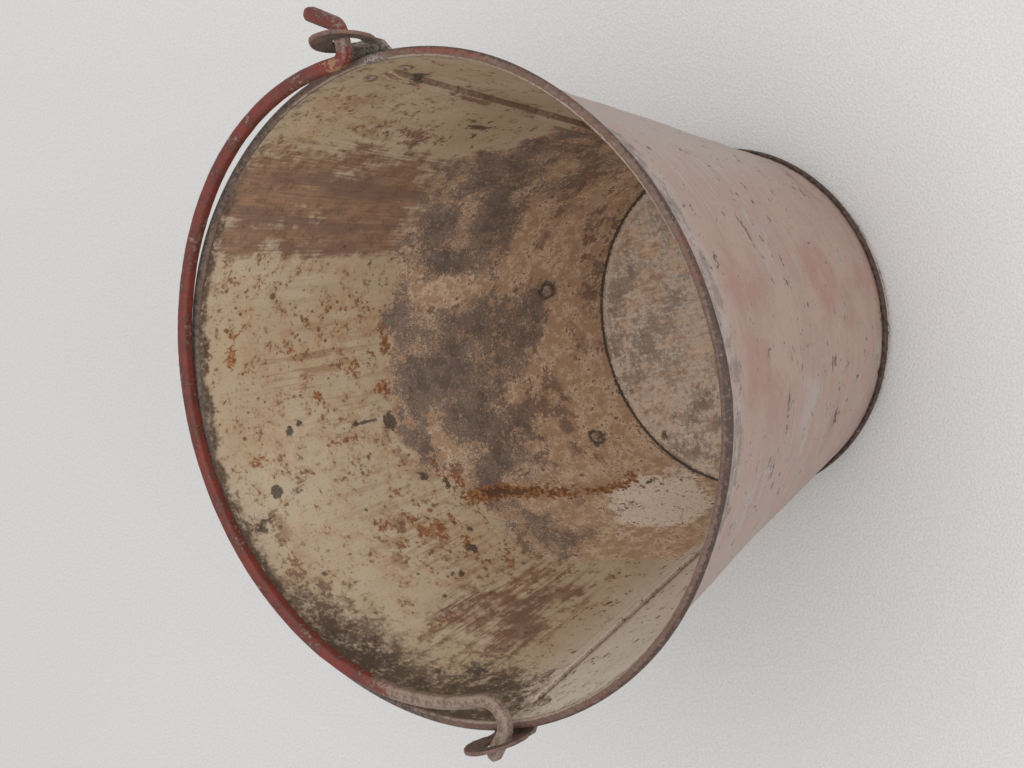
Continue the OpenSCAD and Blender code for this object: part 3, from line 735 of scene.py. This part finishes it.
DARK = [
    (184.8, 149.5, 2.0, 4.2, 0.95), (192.6, 223, 1.5, 3.4, 0.85), (181.6, 206, 1.1, 2.6, 0.75),
    (180.3, 200, 0.8, 2, 0.7), (200, 143.5, 1.2, 2.4, 0.75), (203.6, 134, 1.6, 1.3, 0.75),
    (193.6, 213, 0.8, 4, 0.6), (197, 234, 0.6, 5, 0.65), (183.7, 164, 0.35, 8, 0.75),
    (226, 162, 0.7, 2, 0.7), (221.5, 146, 1.6, 3, 0.6), (228.8, 180, 0.7, 1.8, 0.65),
    (103, 148, 1.4, 8, 0.6), (100.8, 155, 1.0, 5, 0.5), (106.5, 143, 1.4, 2, 0.55),
    (231.2, 35, 0.7, 3, 0.75), (220, 67.5, 2.6, 0.8, 0.5), (185.5, 178, 0.25, 2, 0.5),
    (211.5, 222, 1.4, 2, 0.5), (217, 140, 1.6, 2, 0.5), (226.5, 145, 0.8, 1.6, 0.6),
    (175, 196, 0.3, 10, 0.45), (147.2, 157, 1.2, 1.6, 0.5), (155.5, 230, 0.6, 3, 0.5),
    (168, 200, 0.5, 2, 0.5), (250.5, 189, 0.8, 3, 0.45), (198.5, 238, 1.5, 4, 0.5), (250, 213, 3, 5, 0.55),
    # (157, 46) and (208.3, 38) are painted shadow rings round the grip's rivet heads.
    (244, 222, 2, 4, 0.45), (88, 222, 2.2, 5, 0.6), (157, 46, 3.6, 6, 0.6), (208.3, 38, 3.8, 6, 0.6),
    (5, 190, 1.4, 3, 0.75), (28, 222, 1.1, 2.6, 0.7), (340, 172, 1.2, 3, 0.7),
]
PALE = [(242, 46, 14, 24, 1.8), (238, 20, 14, 8, 0.7)]
SHADE = [(236, 248, 28, 34, 1.0), (257, 240, 16, 40, 1.0), (205, 245, 14, 7, 0.5)]
SPECK = [
    (165, 190, 20, 60, 0.9), (178, 230, 16, 25, 0.6), (215, 165, 16, 30, 1.0), (190, 170, 16, 30, 0.7),
    (108, 215, 18, 45, 0.55), (160, 230, 8, 16, 0.9), (238, 150, 20, 50, 0.6), (212, 228, 10, 20, 0.6),
    (350, 190, 22, 50, 0.8), (40, 210, 20, 40, 0.7), (310, 180, 14, 40, 0.5),
]
DRIP = [
    (170, 185, 10, 35, 0.8), (180, 170, 6, 30, 0.5), (215, 160, 12, 30, 0.85), (242, 158, 14, 46, 1.0),
    (225, 150, 8, 25, 0.6), (152, 200, 6, 30, 0.3), (160, 165, 6, 20, 0.5), (250, 150, 10, 34, 0.6),
    (110, 200, 12, 40, 0.4), (200, 175, 6, 30, 0.4), (332, 190, 14, 40, 0.6), (18, 180, 14, 44, 0.7),
    (50, 170, 10, 36, 0.6),
]
# Upper edge of the darker lower zone: azimuth, height
LOWER_TOP = [
    (0, 104), (40, 110), (96, 108), (108, 114), (112, 136), (118, 144), (146, 144), (150, 141), (160, 145),
    (184, 148), (196, 141), (202, 134), (209, 126), (216, 124), (226, 124), (238, 118), (246, 106),
    (262, 90), (276, 74), (330, 96), (360, 104),
]
# The rust that has run down the wall: azimuth, height, strength
STREAK = [
    (208.8, 130, 0.8), (210.5, 118, 1.1), (212.5, 104, 1.05), (215.5, 92, 0.85), (218.5, 82, 0.75),
    (221.5, 72, 0.7), (224.5, 60, 0.65), (226.5, 48, 0.6), (228.5, 40, 0.5),
]


def zone(az, z, marks):
    """The strongest of a list of soft oval marks at each point."""
    total = np.zeros_like(z)
    for centre, height, wide, tall, strength in marks:
        d = (turn_from(az, centre) / wide) ** 2 + ((z - height) / tall) ** 2
        total = np.maximum(total, strength * np.exp(-0.8 * d * np.sqrt(d + 0.2)))
    return total


def inside_zones(p):
    az, z = azimuth(p), p[:, 2]
    wobble = sway(p, 22, 41, 5)
    soft = sway(p, (9, 9, 60), 43, 3)
    az2, z2 = az + 7 * wobble + 4 * soft, z + 16 * wobble
    edge = np.interp(az, *np.transpose(LOWER_TOP))
    lower = smoothstep(6, -6, z - edge - 16 * wobble - 8 * soft)
    clear = zone(az2, z2, CLEAR)
    run_az, run_z, run_strength = np.transpose(STREAK)[:, ::-1]
    across = turn_from(az + 2.2 * wobble, np.interp(z, run_z, run_az)) / 2.4
    run = 1.15 * np.interp(z, run_z, run_strength) * np.exp(-across ** 2)
    run *= smoothstep(36, 42, z) * smoothstep(134, 130, z)
    dark = zone(az + 0.6 * wobble, z + 2 * wobble, DARK)
    far_rim = 1 - smoothstep(34, 52, away(az, 175))
    rim_edge = (0.45 + 0.38 * far_rim) * smoothstep(242.5, 246.5, z + 8 * soft)
    near_side = 1 - 0.5 * smoothstep(58.5, 36.5, away(az, 286.5))
    settled = (0.26 + 0.36 * smoothstep(64, 90, z + 14 * wobble)) * lower * near_side
    return {
        "lower": lower,
        "wash": 0.9 * smoothstep(43, 17, away(az + 6 * wobble, 297)),
        "band": zone(az + 3 * soft, z2, BAND) * (1 - 0.4 * lower),
        "stain": np.maximum(zone(az2, z2, STAIN), 0.3 * lower * near_side) - 0.5 * clear,
        "film": np.maximum(zone(az2, z2, FILM_AND_SHADE), settled) - 0.9 * clear,
        "rust": np.maximum(zone(az + 1.6 * wobble, z + 5 * wobble, RUST), run),
        "dark": np.maximum(dark, 0.75 * smoothstep(10.8, 9.6, z)),
        "edge": np.maximum(rim_edge, zone(az2, z2, SHADE)),
        "pale": zone(az2, z2, PALE),
        "speck": (0.05 + 0.85 * zone(az2, z2, SPECK)) * (1 - 0.7 * lower),
        "drip": zone(az2, z2, DRIP) * (1 - 0.8 * lower),
    }


# Paint zones outside, in the same form
# Chalky paint and painted sheen: the bands just under the rim and the tall zone at azimuth 54 are painted
# sheen.
CHALK_AND_SHEEN = [
    (0, 233, 70, 13, 1.05), (316, 185, 20, 70, 0.5), (330, 120, 14, 40, 0.4), (54, 150, 22, 100, 1.15),
    (120, 150, 30, 60, 0.7), (200, 180, 30, 40, 0.6), (260, 120, 30, 60, 0.7), (336, 40, 16, 30, 0.3),
    (180, 234, 90, 13, 0.9),
]
RUDDY = [
    (6, 90, 11, 20, 0.9), (350, 190, 12, 50, 0.55), (8, 200, 7, 40, 0.6), (4, 40, 7, 40, 0.5),
    (356, 60, 8, 40, 0.45), (160, 110, 30, 60, 0.5), (230, 60, 30, 40, 0.5), (346, 90, 5, 22, 0.6),
]
SCRAPE = [
    (345, 87, 2.4, 5, 0.75), (340, 158, 6, 1.6, 0.6), (19, 163, 4, 3, 0.6), (12, 133, 2, 2, 0.7),
    (352, 154, 1, 2, 0.7), (17, 142, 2, 6, 0.45), (27, 126, 0.8, 8, 0.55), (41, 160, 1.5, 6, 0.5),
    (330, 172, 5, 8, 0.4), (352, 130, 0.8, 12, 0.5), (328, 70, 3, 5, 0.6), (333, 178, 1.2, 4, 0.6),
    (200, 120, 3, 20, 0.5), (150, 80, 5, 4, 0.5), (130, 180, 2, 14, 0.5), (240, 150, 4, 6, 0.5),
    (290, 60, 3, 12, 0.45), (36, 40, 3, 6, 0.5), (46, 30, 4, 8, 0.5),
]
# A darker grey band below the rim, and a few small grey patches elsewhere.
DARKER_GREY = [
    (340, 232, 9, 10, 0.85), (352, 230, 7, 10, 0.8), (8, 233, 10, 9, 0.8), (328, 232, 7, 9, 0.75),
    (323, 218, 3, 7, 0.5), (22, 233, 9, 9, 0.8), (36, 232, 8, 8, 0.7), (15, 202, 2, 6, 0.45),
    (100, 236, 14, 8, 0.6), (150, 238, 16, 7, 0.6), (210, 236, 16, 8, 0.7), (262, 238, 14, 7, 0.6),
    (300, 232, 10, 9, 0.6), (328, 72, 5, 8, 0.5), (60, 236, 10, 8, 0.6),
]


def outside_zones(p):
    az, z = azimuth(p), p[:, 2]
    wobble = sway(p, 26, 61, 4)
    az2, z2 = az + 10 * wobble, z + 16 * wobble
    rim_grey_band = 0.75 * smoothstep(226, 243, z + 6 * wobble)
    return {
        "chalk_and_sheen": 0.22 + 0.65 * zone(az2, z2, CHALK_AND_SHEEN),
        "ruddy": zone(az2, z2, RUDDY),
        "scrape": zone(az + 2 * wobble, z + 6 * wobble, SCRAPE),
        "darker_grey": np.maximum(zone(az2, z + 8 * wobble, DARKER_GREY), rim_grey_band),
        "outer_rust": np.maximum(0.36 * smoothstep(13.5, 10, z), 0.5 * smoothstep(242, 247, z)),
    }


# Paint left on the rim: azimuth, half width in degrees, strength
RED_RIM = [
    (72, 13, 0.9), (100, 8, 0.4), (268, 14, 0.4), (288, 10, 0.5), (40, 10, 0.3), (8, 12, 0.35),
    (330, 14, 0.35), (200, 14, 0.25),
]


def rim_marks(p):
    az = azimuth(p)
    red = np.zeros(len(p))
    for centre, wide, strength in RED_RIM:
        red = np.maximum(red, strength * np.exp(-(turn_from(az, centre) / wide) ** 2))
    side = (np.hypot(p[:, 0], p[:, 1]) - ROLL_C[0]) / ROLL_R
    top = (p[:, 2] - ROLL_C[1]) / ROLL_R
    far = 1 - smoothstep(60, 85, away(az, 180))
    inner = np.exp(-((side + 0.72) / 0.3) ** 2) * smoothstep(-0.1, 0.5, top)
    return {
        "red": red * (0.35 + 0.65 * smoothstep(-0.5, 0.4, side)),
        "lip": inner * (0.85 - 0.6 * far),
        # under: painted shade on the roll's underside and outer side.
        "under": np.maximum(smoothstep(0.3, -0.5, top), 0.8 * smoothstep(0.4, 0.8, side)),
        "bare": 0.8 * np.exp(-(turn_from(az, 88) / 4.5) ** 2) * smoothstep(-0.2, 0.6, top),
        "far": far,
    }


def seam_marks(p, first):
    """Dark lines along the edges of the seam strip, whose points start at first, painted shadow on the wall
    beside it, and the strip's crest, which gets a painted highlight on the -Y seam.
    """
    r = np.hypot(p[:, 0], p[:, 1])
    across = np.min([np.radians(away(azimuth(p), ear)) * r for ear in EARS], axis=0)
    strip = np.arange(len(p)) >= first
    end = smoothstep(SEAM_HIGH + 3, SEAM_HIGH - 1, p[:, 2])
    uneven = 0.55 + 0.6 * fbm(p, (7, 7, 16), 71, 3)
    # Painted shadow on the wall beside the strip.
    beside = np.exp(-((across - 4.4) / 0.9) ** 2) * end * ~strip
    edge = strip * smoothstep(2.9, 3.6, across)
    crease = np.where(p[:, 1] > 0, 0.8, 0.55) * uneven * np.maximum(beside, edge)
    return crease, strip * smoothstep(3.0, 1.6, across)


def make_wall(name, turn, materials):
    section = wall_section()
    kinds = section[:, 2].astype(int)
    m, n = WALL_COLUMNS, len(section)
    t = np.linspace(0, 1, m)
    t = np.where(t < 0.5, 0.5 * (2 * t) ** 1.25, 1 - 0.5 * (2 - 2 * t) ** 1.25)
    r0, z0 = np.repeat(section[None, :, :2], m, 0).transpose(2, 0, 1)
    start = -90 - np.degrees(np.arcsin((SEAM_W / 2 - GAP) / r0))
    stop = 90 - np.degrees(np.arcsin((SEAM_W / 2 + GAP) / r0))
    az = start + (stop - start) * t[:, None] + turn
    places = (az.ravel() % 360, z0.ravel())
    push = (wall_push(*places) + rim_push(*places)).reshape(m, n)
    for column, tuck in enumerate(TUCKS):
        push[[column, -1 - column]] -= tuck * (kinds == OUTER)
    r, z, a = r0 + push * OUT[0], z0 + push * OUT[1], np.radians(az)
    verts = np.stack([r * np.cos(a), r * np.sin(a), z], -1).reshape(-1, 3)
    first = len(verts)
    strip, strip_faces = seam_strip()
    c, s = math.cos(math.radians(turn)), math.sin(math.radians(turn))
    strip = strip @ np.array([[c, s, 0], [-s, c, 0], [0, 0, 1]])
    faces = tube_faces(m, n, -1) + [[i + first for i in f] for f in strip_faces]
    wall = add_object(name, np.concatenate([verts, strip]), faces, 46)
    for material in materials:
        wall.data.materials.append(material)
    face_kinds = np.tile(np.maximum(kinds, np.roll(kinds, -1)), m - 1)
    slots = np.concatenate([face_kinds, [EDGE, EDGE], np.full(len(strip_faces), INNER)])
    wall.data.polygons.foreach_set("material_index", np.minimum(slots, OUTER).astype(np.int32))
    p = points_of(wall)
    marks = {**inside_zones(p), **outside_zones(p), **rim_marks(p)}
    is_outer = np.concatenate([np.tile(kinds >= OUTER, m), np.zeros(len(strip), bool)])
    marks["rust"] = np.where(is_outer, marks.pop("outer_rust"), marks["rust"])
    crease, crest = seam_marks(p, first)
    left = p[:, 1] > 0
    stained = np.maximum(marks["stain"], 0.4 * crest)
    marks["stain"] = np.where(left, stained, marks["stain"] * (1 - crest))
    marks["film"] = marks["film"] * (1 - 0.6 * crest)
    around = np.radians(turn_from(azimuth(p), turn)) * MEAN_R * MM
    # The crest mark, a painted highlight, is kept only on the -Y seam.
    set_attributes(wall, **marks, crease=crease, crest=crest * ~left, around=around, up=p[:, 2] * MM)
    return wall


# Bottom disc and foot

DISC_RINGS, DISC_SPOKES = 60, 200
FOOT_SPOKES = 300
FOOT_ROUND = 0.45
# Radius where the foot's dents are drawn, how far its lap clears the wall, height above which it is worn
FOOT_MID_R, LAP_SPARE, FOOT_WORN_Z = 87, 0.3, 7.0


def make_disc(material):
    rings, spokes = DISC_RINGS, DISC_SPOKES
    radii = (BASE_R + RING_LAP) * (np.arange(1, rings + 1) / rings) ** 0.9
    a = np.linspace(0, 2 * math.pi, spokes, endpoint=False)
    flat = np.stack([np.outer(radii, np.cos(a)), np.outer(radii, np.sin(a)), np.zeros((rings, spokes))], -1)
    flat = np.concatenate([np.zeros((1, 3)), flat.reshape(-1, 3)])
    rr = np.hypot(flat[:, 0], flat[:, 1])
    wave = 2.4 * (fbm(flat, 44, 81, 3) - 0.42) + 0.6 * sway(flat, 13, 83, 2)
    lift = (wave + 0.9 * np.exp(-(rr / 60) ** 2)) * smoothstep(86, 72, rr)
    verts = [flat + np.outer(lift + z, [0, 0, 1]) for z in (FLOOR_Z - 0.01, FOOT_H)]
    count = len(flat)
    faces = []
    for first, order in ((0, 1), (count, -1)):
        fan = [[first, first + 1 + j, first + 1 + (j + 1) % spokes] for j in range(spokes)]
        faces += [f[::order] for f in fan + grid_faces(rings, spokes, wrap_n=True, start=first + 1)]
    top, low = count - spokes, 2 * count - spokes
    faces += [[top + j, low + j, low + (j + 1) % spokes, top + (j + 1) % spokes] for j in range(spokes)]
    disc = add_object("bottom_plate", np.concatenate(verts), faces, 40)
    recalculate(disc)
    p = points_of(disc)
    x, y, z = p.T
    rr = np.hypot(x, y)
    wobble = sway(p, 16, 91, 4)
    ring = 0.5 * smoothstep(66, 84, rr + 20 * wobble) * (0.5 + wobble)
    spot = np.exp(-np.hypot(x + 61, y + 51) ** 2 / 9)
    rim = 0.9 * np.maximum(smoothstep(84.4, 85.6, rr), spot)
    shade = 0.3 * np.exp(-(turn_from(azimuth(p), 120) / 40) ** 2) * smoothstep(40, 80, rr)
    warm = np.exp(-((x + 57) / 26) ** 2 - ((y - 36) / 34) ** 2)
    set_attributes(
        disc,
        rust=np.where(z < FLOOR_Z - SHEET / 2, 0.45, ring),
        dark=np.maximum(rim, shade),
        light=0.75 * np.exp(-((rr - 83.0) / 1.2) ** 2),
        tan=0.3 + 0.3 * warm,
        film=0.5 * np.maximum(smoothstep(-44, -66, x), smoothstep(-12, -36, y)),
    )
    disc.data.materials.append(material)
    return disc


def rounded_line(points, radius, cuts=4):
    """Closed outline with its corners rounded."""
    points = [np.array(p, float) for p in points]
    out = []
    for i, corner in enumerate(points):
        a, b = points[i - 1] - corner, points[(i + 1) % len(points)] - corner
        reach = min(radius, 0.45 * np.linalg.norm(a), 0.45 * np.linalg.norm(b))
        a, b = corner + a / np.linalg.norm(a) * reach, corner + b / np.linalg.norm(b) * reach
        for t in np.linspace(0, 1, cuts):
            out.append((1 - t) ** 2 * a + 2 * t * (1 - t) * corner + t * t * b)
    return np.array(out)


def make_foot(material):
    ring = BASE_R + RING_LAP + GAP + SHEET
    lap = BASE_R + SHEET / math.cos(LEAN) + 2 * SHEET * math.tan(LEAN) + LAP_SPARE
    fold = FLOOR_Z + SHEET + GAP
    flange = FOOT_H - SHEET
    inner, hem = FOOT_R - SHEET, FOOT_R - 2 * SHEET
    outline = [
        (hem, 0), (FOOT_R, 0), (FOOT_R, flange), (ring, flange), (ring, fold + SHEET), (lap, fold + SHEET),
        (lap, fold), (ring - SHEET, fold), (ring - SHEET, FOOT_H), (inner, FOOT_H), (inner, HEM_H),
        (hem, HEM_H),
    ]
    line_r, line_z = rounded_line(outline, FOOT_ROUND).T
    a = np.linspace(0, 2 * math.pi, FOOT_SPOKES, endpoint=False)
    base = np.stack([np.cos(a) * FOOT_MID_R, np.sin(a) * FOOT_MID_R, 0 * a], -1)
    dent = 0.5 * sway(base, 20, 101, 3)
    lift = 0.12 * sway(base, 14, 103, 2)
    r = line_r + np.outer(dent, smoothstep(FOOT_H, 2, line_z))
    z = line_z + np.outer(lift, smoothstep(FOOT_H, fold + SHEET, line_z))
    verts = np.stack([r * np.cos(a)[:, None], r * np.sin(a)[:, None], z], -1).reshape(-1, 3)
    faces = grid_faces(FOOT_SPOKES, len(line_r), wrap_n=True, wrap_m=True)
    foot = add_object("foot_ring", verts, faces, 50)
    recalculate(foot)
    z = points_of(foot)[:, 2]
    set_attributes(foot, worn=np.where(z > FOOT_WORN_Z, 0.8, 0.12 + 0.3 * smoothstep(1.0, 0.2, z)))
    foot.data.materials.append(material)
    return foot


# Bail

BAR_W = 6.6
BAR_CORNER = 2.2
CORNER_CUTS = 5
SIDE_HOLLOW = 0.985
BOW_W, BOW_DEEP, BOW_BACK, BOW_TURN = 291.6, 140.5, 11.5, 45.0
BOW_SUM = BOW_W / 2 + BOW_DEEP
BOW_DIFF = (BOW_W / 2 - BOW_DEEP) / (2 * math.cos(math.radians(BOW_TURN)) - 1)
SIDE_R, CROWN_R = (BOW_SUM - BOW_DIFF) / 2, (BOW_SUM + BOW_DIFF) / 2
HOOK_R, LEFT_THROUGH, LEFT_TURN, LEFT_TAIL = 6.0, 6.5, 60.0, 17.0
SWAN_R, SWAN_SLANT, SWAN_OUT = 10.0, 45.0, 9.0
BAIL_SLIDE, FOLD = 7.7, 2.6
# Right ear: its knee's distance from the axis, the pivot's height over the knee, its lean in degrees
KNEE_Y, KNEE_UP, EAR_LEAN = 157.1, 14, 4
RIGHT_EAR = KNEE_Y + KNEE_UP * math.tan(math.radians(EAR_LEAN))
SLANT = math.radians(SWAN_SLANT)
SWAN_IN = (RIGHT_EAR + BAIL_SLIDE - BOW_W / 2 - SWAN_R * (1 + math.sin(SLANT))) / math.cos(SLANT)
RIGHT_ARM = BOW_BACK + SWAN_IN * math.sin(SLANT) - SWAN_R * math.cos(SLANT)
BOW_PITCH, HOOK_PITCH = 1.4, 1.0
# How far the crown is worn thinner, as a share, and bent out
CROWN_WORN, CROWN_BENT = 0.07, 0.7
# Places along the bar, from its left tip: worn where it turns in the ear, and ochre beside that
WORN_AT, OCHRE_AT = 28.0, 40.0


def walk(pose, steps, pitch):
    """Places and headings along straight runs, given as (length,), and bends, given as (radius, degrees)."""
    poses = []
    for size, *bend in steps:
        turn = math.radians(bend[0]) if bend else 0.0
        length = size * abs(turn) if bend else size
        cuts = max(2, math.ceil(length / pitch))
        x, y, h = pose
        for k in range(1, cuts + 1):
            part = turn * k / cuts
            if bend:
                side = math.copysign(size, turn)
                dx, dy = side * (math.sin(h + part) - math.sin(h)), side * (math.cos(h) - math.cos(h + part))
            else:
                dx, dy = size * k / cuts * math.cos(h), size * k / cuts * math.sin(h)
            poses.append((x + dx, y + dy, h + part))
        pose = poses[-1]
    return poses


def bail_line():
    """Places and headings along the bail, from its left tip to its right one."""
    shoulder = BOW_W / 2
    hook = [(BOW_BACK - HOOK_R,), (HOOK_R, 90), (LEFT_THROUGH,), (HOOK_R, LEFT_TURN), (LEFT_TAIL,)]
    left = walk((0, shoulder, 0.0), hook, HOOK_PITCH)
    left = [(x, y, h + math.pi) for x, y, h in left[::-1]]
    arcs = [(SIDE_R, BOW_TURN), (CROWN_R, 180 - 2 * BOW_TURN), (SIDE_R, BOW_TURN), (RIGHT_ARM,)]
    bow = walk((0, shoulder, math.pi), arcs, BOW_PITCH)
    swan = walk(bow[-1], [(SWAN_R, -90 - SWAN_SLANT), (SWAN_IN + SWAN_OUT,)], HOOK_PITCH)
    return np.array(left + [(0, shoulder, math.pi)] + bow + swan)


def bar_section():
    """Section of the bar, square with round corners and hollow sides, and how far each point is a ridge."""
    section, ridge = [], []
    at = BAR_W / 2 - BAR_CORNER
    for corner in range(4):
        mid = math.radians(90 * corner + 45)
        centre = at * np.sign([math.cos(mid), math.sin(mid)])
        for k in range(CORNER_CUTS + 1):
            a = math.radians(90 * corner + 90 * k / CORNER_CUTS)
            section.append(centre + BAR_CORNER * np.array([math.cos(a), math.sin(a)]))
            ridge.append(math.cos(math.radians(90 * (k / CORNER_CUTS - 0.5))) ** 2)
        a = math.radians(90 * (corner + 1))
        section.append(BAR_W / 2 * SIDE_HOLLOW * np.array([math.cos(a), math.sin(a)]))
        ridge.append(0.0)
    ridge = np.array(ridge)
    ridge = (ridge - ridge[ridge > 0].min() * 0.9).clip(0)
    return np.array(section), ridge / ridge.max()


def make_bail(material):
    line = bail_line()
    section, ridge = bar_section()
    m, n = len(line), len(section)
    steps = np.hypot(*np.diff(line[:, :2], axis=0).T)
    along = np.concatenate([[0], np.cumsum(steps)])
    total = along[-1]
    marks = np.stack([along, 0 * along, 0 * along], -1)
    wide = 1 - 0.07 * fbm(marks, 34, 111, 3)
    tall = 1 - 0.07 * fbm(marks, 28, 117, 3)
    twist = 0.10 * sway(marks, 90, 119, 2)
    tip = np.minimum(along, total - along)
    crown = np.exp(-(line[:, 1] / 80) ** 2) * (line[:, 0] < -BOW_DEEP / 2)
    taper = (1 - 0.35 * (1 - smoothstep(0, 2.4, tip)) ** 2) * (1 - CROWN_WORN * crown)
    verts = []
    for i, (x, y, h) in enumerate(line):
        q = section * np.array([wide[i], tall[i]]) * taper[i]
        c, s = math.cos(twist[i]), math.sin(twist[i])
        u, v = q[:, 0] * c - q[:, 1] * s, q[:, 0] * s + q[:, 1] * c
        verts.append(np.stack([x - CROWN_BENT * crown[i] - u * math.sin(h), y + u * math.cos(h), v], -1))
    verts = np.concatenate(verts)
    verts += 0.35 * np.stack([sway(verts, 5.5, 121 + k, 3) for k in range(3)], -1)
    verts += np.array([-BOW_BACK, BAIL_SLIDE, 0])
    c, s = math.cos(math.radians(FOLD)), math.sin(math.radians(FOLD))
    verts = verts @ np.array([[c, 0, -s], [0, 1, 0], [s, 0, c]]).T + np.array([0, 0, PIVOT_Z])
    bail = add_object("bail_bar", verts, tube_faces(m, n), 60)
    recalculate(bail)
    worn = 0.12 + 1.3 * smoothstep(total - 125, total - 75, along)
    worn += 0.75 * np.exp(-((along - WORN_AT) / 9) ** 2) + 0.25 * sway(marks, 26, 131, 3)
    ochre = 0.8 * np.exp(-((along - OCHRE_AT) / 5) ** 2)
    set_attributes(bail, ridge=np.tile(ridge, m), worn=np.repeat(worn, n), ochre=np.repeat(ochre, n))
    bail.data.materials.append(material)
    return bail


# The pieces

iron = ear_iron("ear_iron", (80, 67, 60), (104, 89, 80))
rivet_iron = ear_iron("rivet_iron", (140, 120, 104), (168, 148, 130))
wall_materials = [inside_paint(), rim_iron(), outside_paint()]
pieces = [
    (make_wall("front_wall", 0, wall_materials), "bucket", "front_sheet", "wall_paint"),
    (make_wall("rear_wall", 180, wall_materials), "bucket", "rear_sheet", "wall_paint"),
    (make_disc(disc_paint()), "bucket", "bottom_disc", "wall_paint"),
    (make_foot(foot_paint()), "bucket", "foot_hoop", "wall_paint"),
    (make_bail(bail_paint()), "bail", "bail", "bail_paint"),
]
# Worn copies: node, piece, voxel and dent sizes, seed, material, its slot, bare iron at the foot of an ear
for node, name, voxel, dent_size, seed, material, slot, bare in (
    ("left_ear", "left_ear_plate", 0.5, 5.0, 201, iron, "ear_iron", 0.75),
    ("right_ear", "right_ear_plate", 0.5, 5.0, 211, iron, "ear_iron", 0.3),
    ("left_ear_rivets", "left_ear_rivet_pair", 0.3, 5.0, 221, rivet_iron, "ear_iron", 0.0),
    ("right_ear_rivets", "right_ear_rivet_pair", 0.3, 5.0, 231, rivet_iron, "ear_iron", 0.0),
    ("grip_rivets", "grip_rivet_pair", 0.3, 5.0, 241, rivet_iron, "bare_iron", 0.0),
    ("tipping_grip", "tipping_grip_strap", 0.6, 9.0, 251, grip_paint(), "grip_paint", 0.0),
):
    piece = worn_copy(node, name, voxel, dent_size, seed)
    piece.data.materials.append(material)
    set_attributes(piece, foot=bare * smoothstep(9.0, 4.0, points_of(piece)[:, 2] - ROLL_C[1]))
    pieces.append((piece, "bucket", node, slot))
for piece, body, node, slot in pieces:
    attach(piece, body)
    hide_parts(node)

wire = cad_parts["rim_wire"]
wire.data.materials.clear()
wire.data.materials.append(wall_materials[BEAD])


# Floor, light and camera, in metres

FLOOR_HALF = 6.0
WORLD_COLOUR, WORLD_STRENGTH = (1.0, 0.995, 0.985, 1), 0.66
LIGHT_AIM = Vector((0.0, 0.0, 0.12))
# Lamps: name, place, size, power
LIGHTS = [("key", (0.7, 0.42, 2.3), 2.2, 27.0), ("fill", (2.5, -0.3, 1.5), 1.6, 16.0)]
CAMERA_AT = Vector((0.7943, 0.0190, 1.1638))
CAMERA_LOOK = Vector((-0.6352, -0.0181, -0.7721))
CAMERA_RIGHT = Vector((0.7561, -0.2183, -0.6169))
SENSOR_W = 36.0
IMAGE_W = 1024
FOCAL_PIXELS = 2700.0


def make_floor():
    half = FLOOR_HALF
    corners = [(-half, -half, 0), (half, -half, 0), (half, half, 0), (-half, half, 0)]
    mesh = bpy.data.meshes.new("floor")
    mesh.from_pydata(corners, [], [(0, 1, 2, 3)])
    s = Shader("floor_cloth")
    weave = s.noise(1.4, 2, 0.5)
    s.coat(weave, 0.3, 0.7, (211, 211, 210), (218, 217, 216))
    mesh.materials.append(s.finish(0.9, weave, 0.2, specular=0.1))
    floor = link_object("floor", mesh)


def make_lights():
    world = bpy.data.worlds.new("studio")
    bpy.context.scene.world = world
    world.use_nodes = True
    background = world.node_tree.nodes["Background"]
    background.inputs["Color"].default_value = WORLD_COLOUR
    background.inputs["Strength"].default_value = WORLD_STRENGTH
    for name, place, size, power in LIGHTS:
        lamp = bpy.data.lights.new(name, "AREA")
        lamp.energy = power
        lamp.size = size
        light = link_object(name, lamp)
        light.location = place
        light.rotation_euler = (LIGHT_AIM - Vector(place)).to_track_quat("-Z", "Y").to_euler()


def make_camera():
    look = CAMERA_LOOK.normalized()
    right = (CAMERA_RIGHT - look * CAMERA_RIGHT.dot(look)).normalized()
    turn = Matrix((right, right.cross(look), -look)).transposed().to_4x4()
    data = bpy.data.cameras.new("camera")
    data.sensor_width = SENSOR_W
    data.lens = FOCAL_PIXELS * SENSOR_W / IMAGE_W
    camera = link_object("camera", data)
    camera.matrix_world = Matrix.Translation(CAMERA_AT) @ turn
    bpy.context.scene.camera = camera


make_floor()
make_lights()
make_camera()
bpy.context.scene.view_settings.view_transform = "Standard"
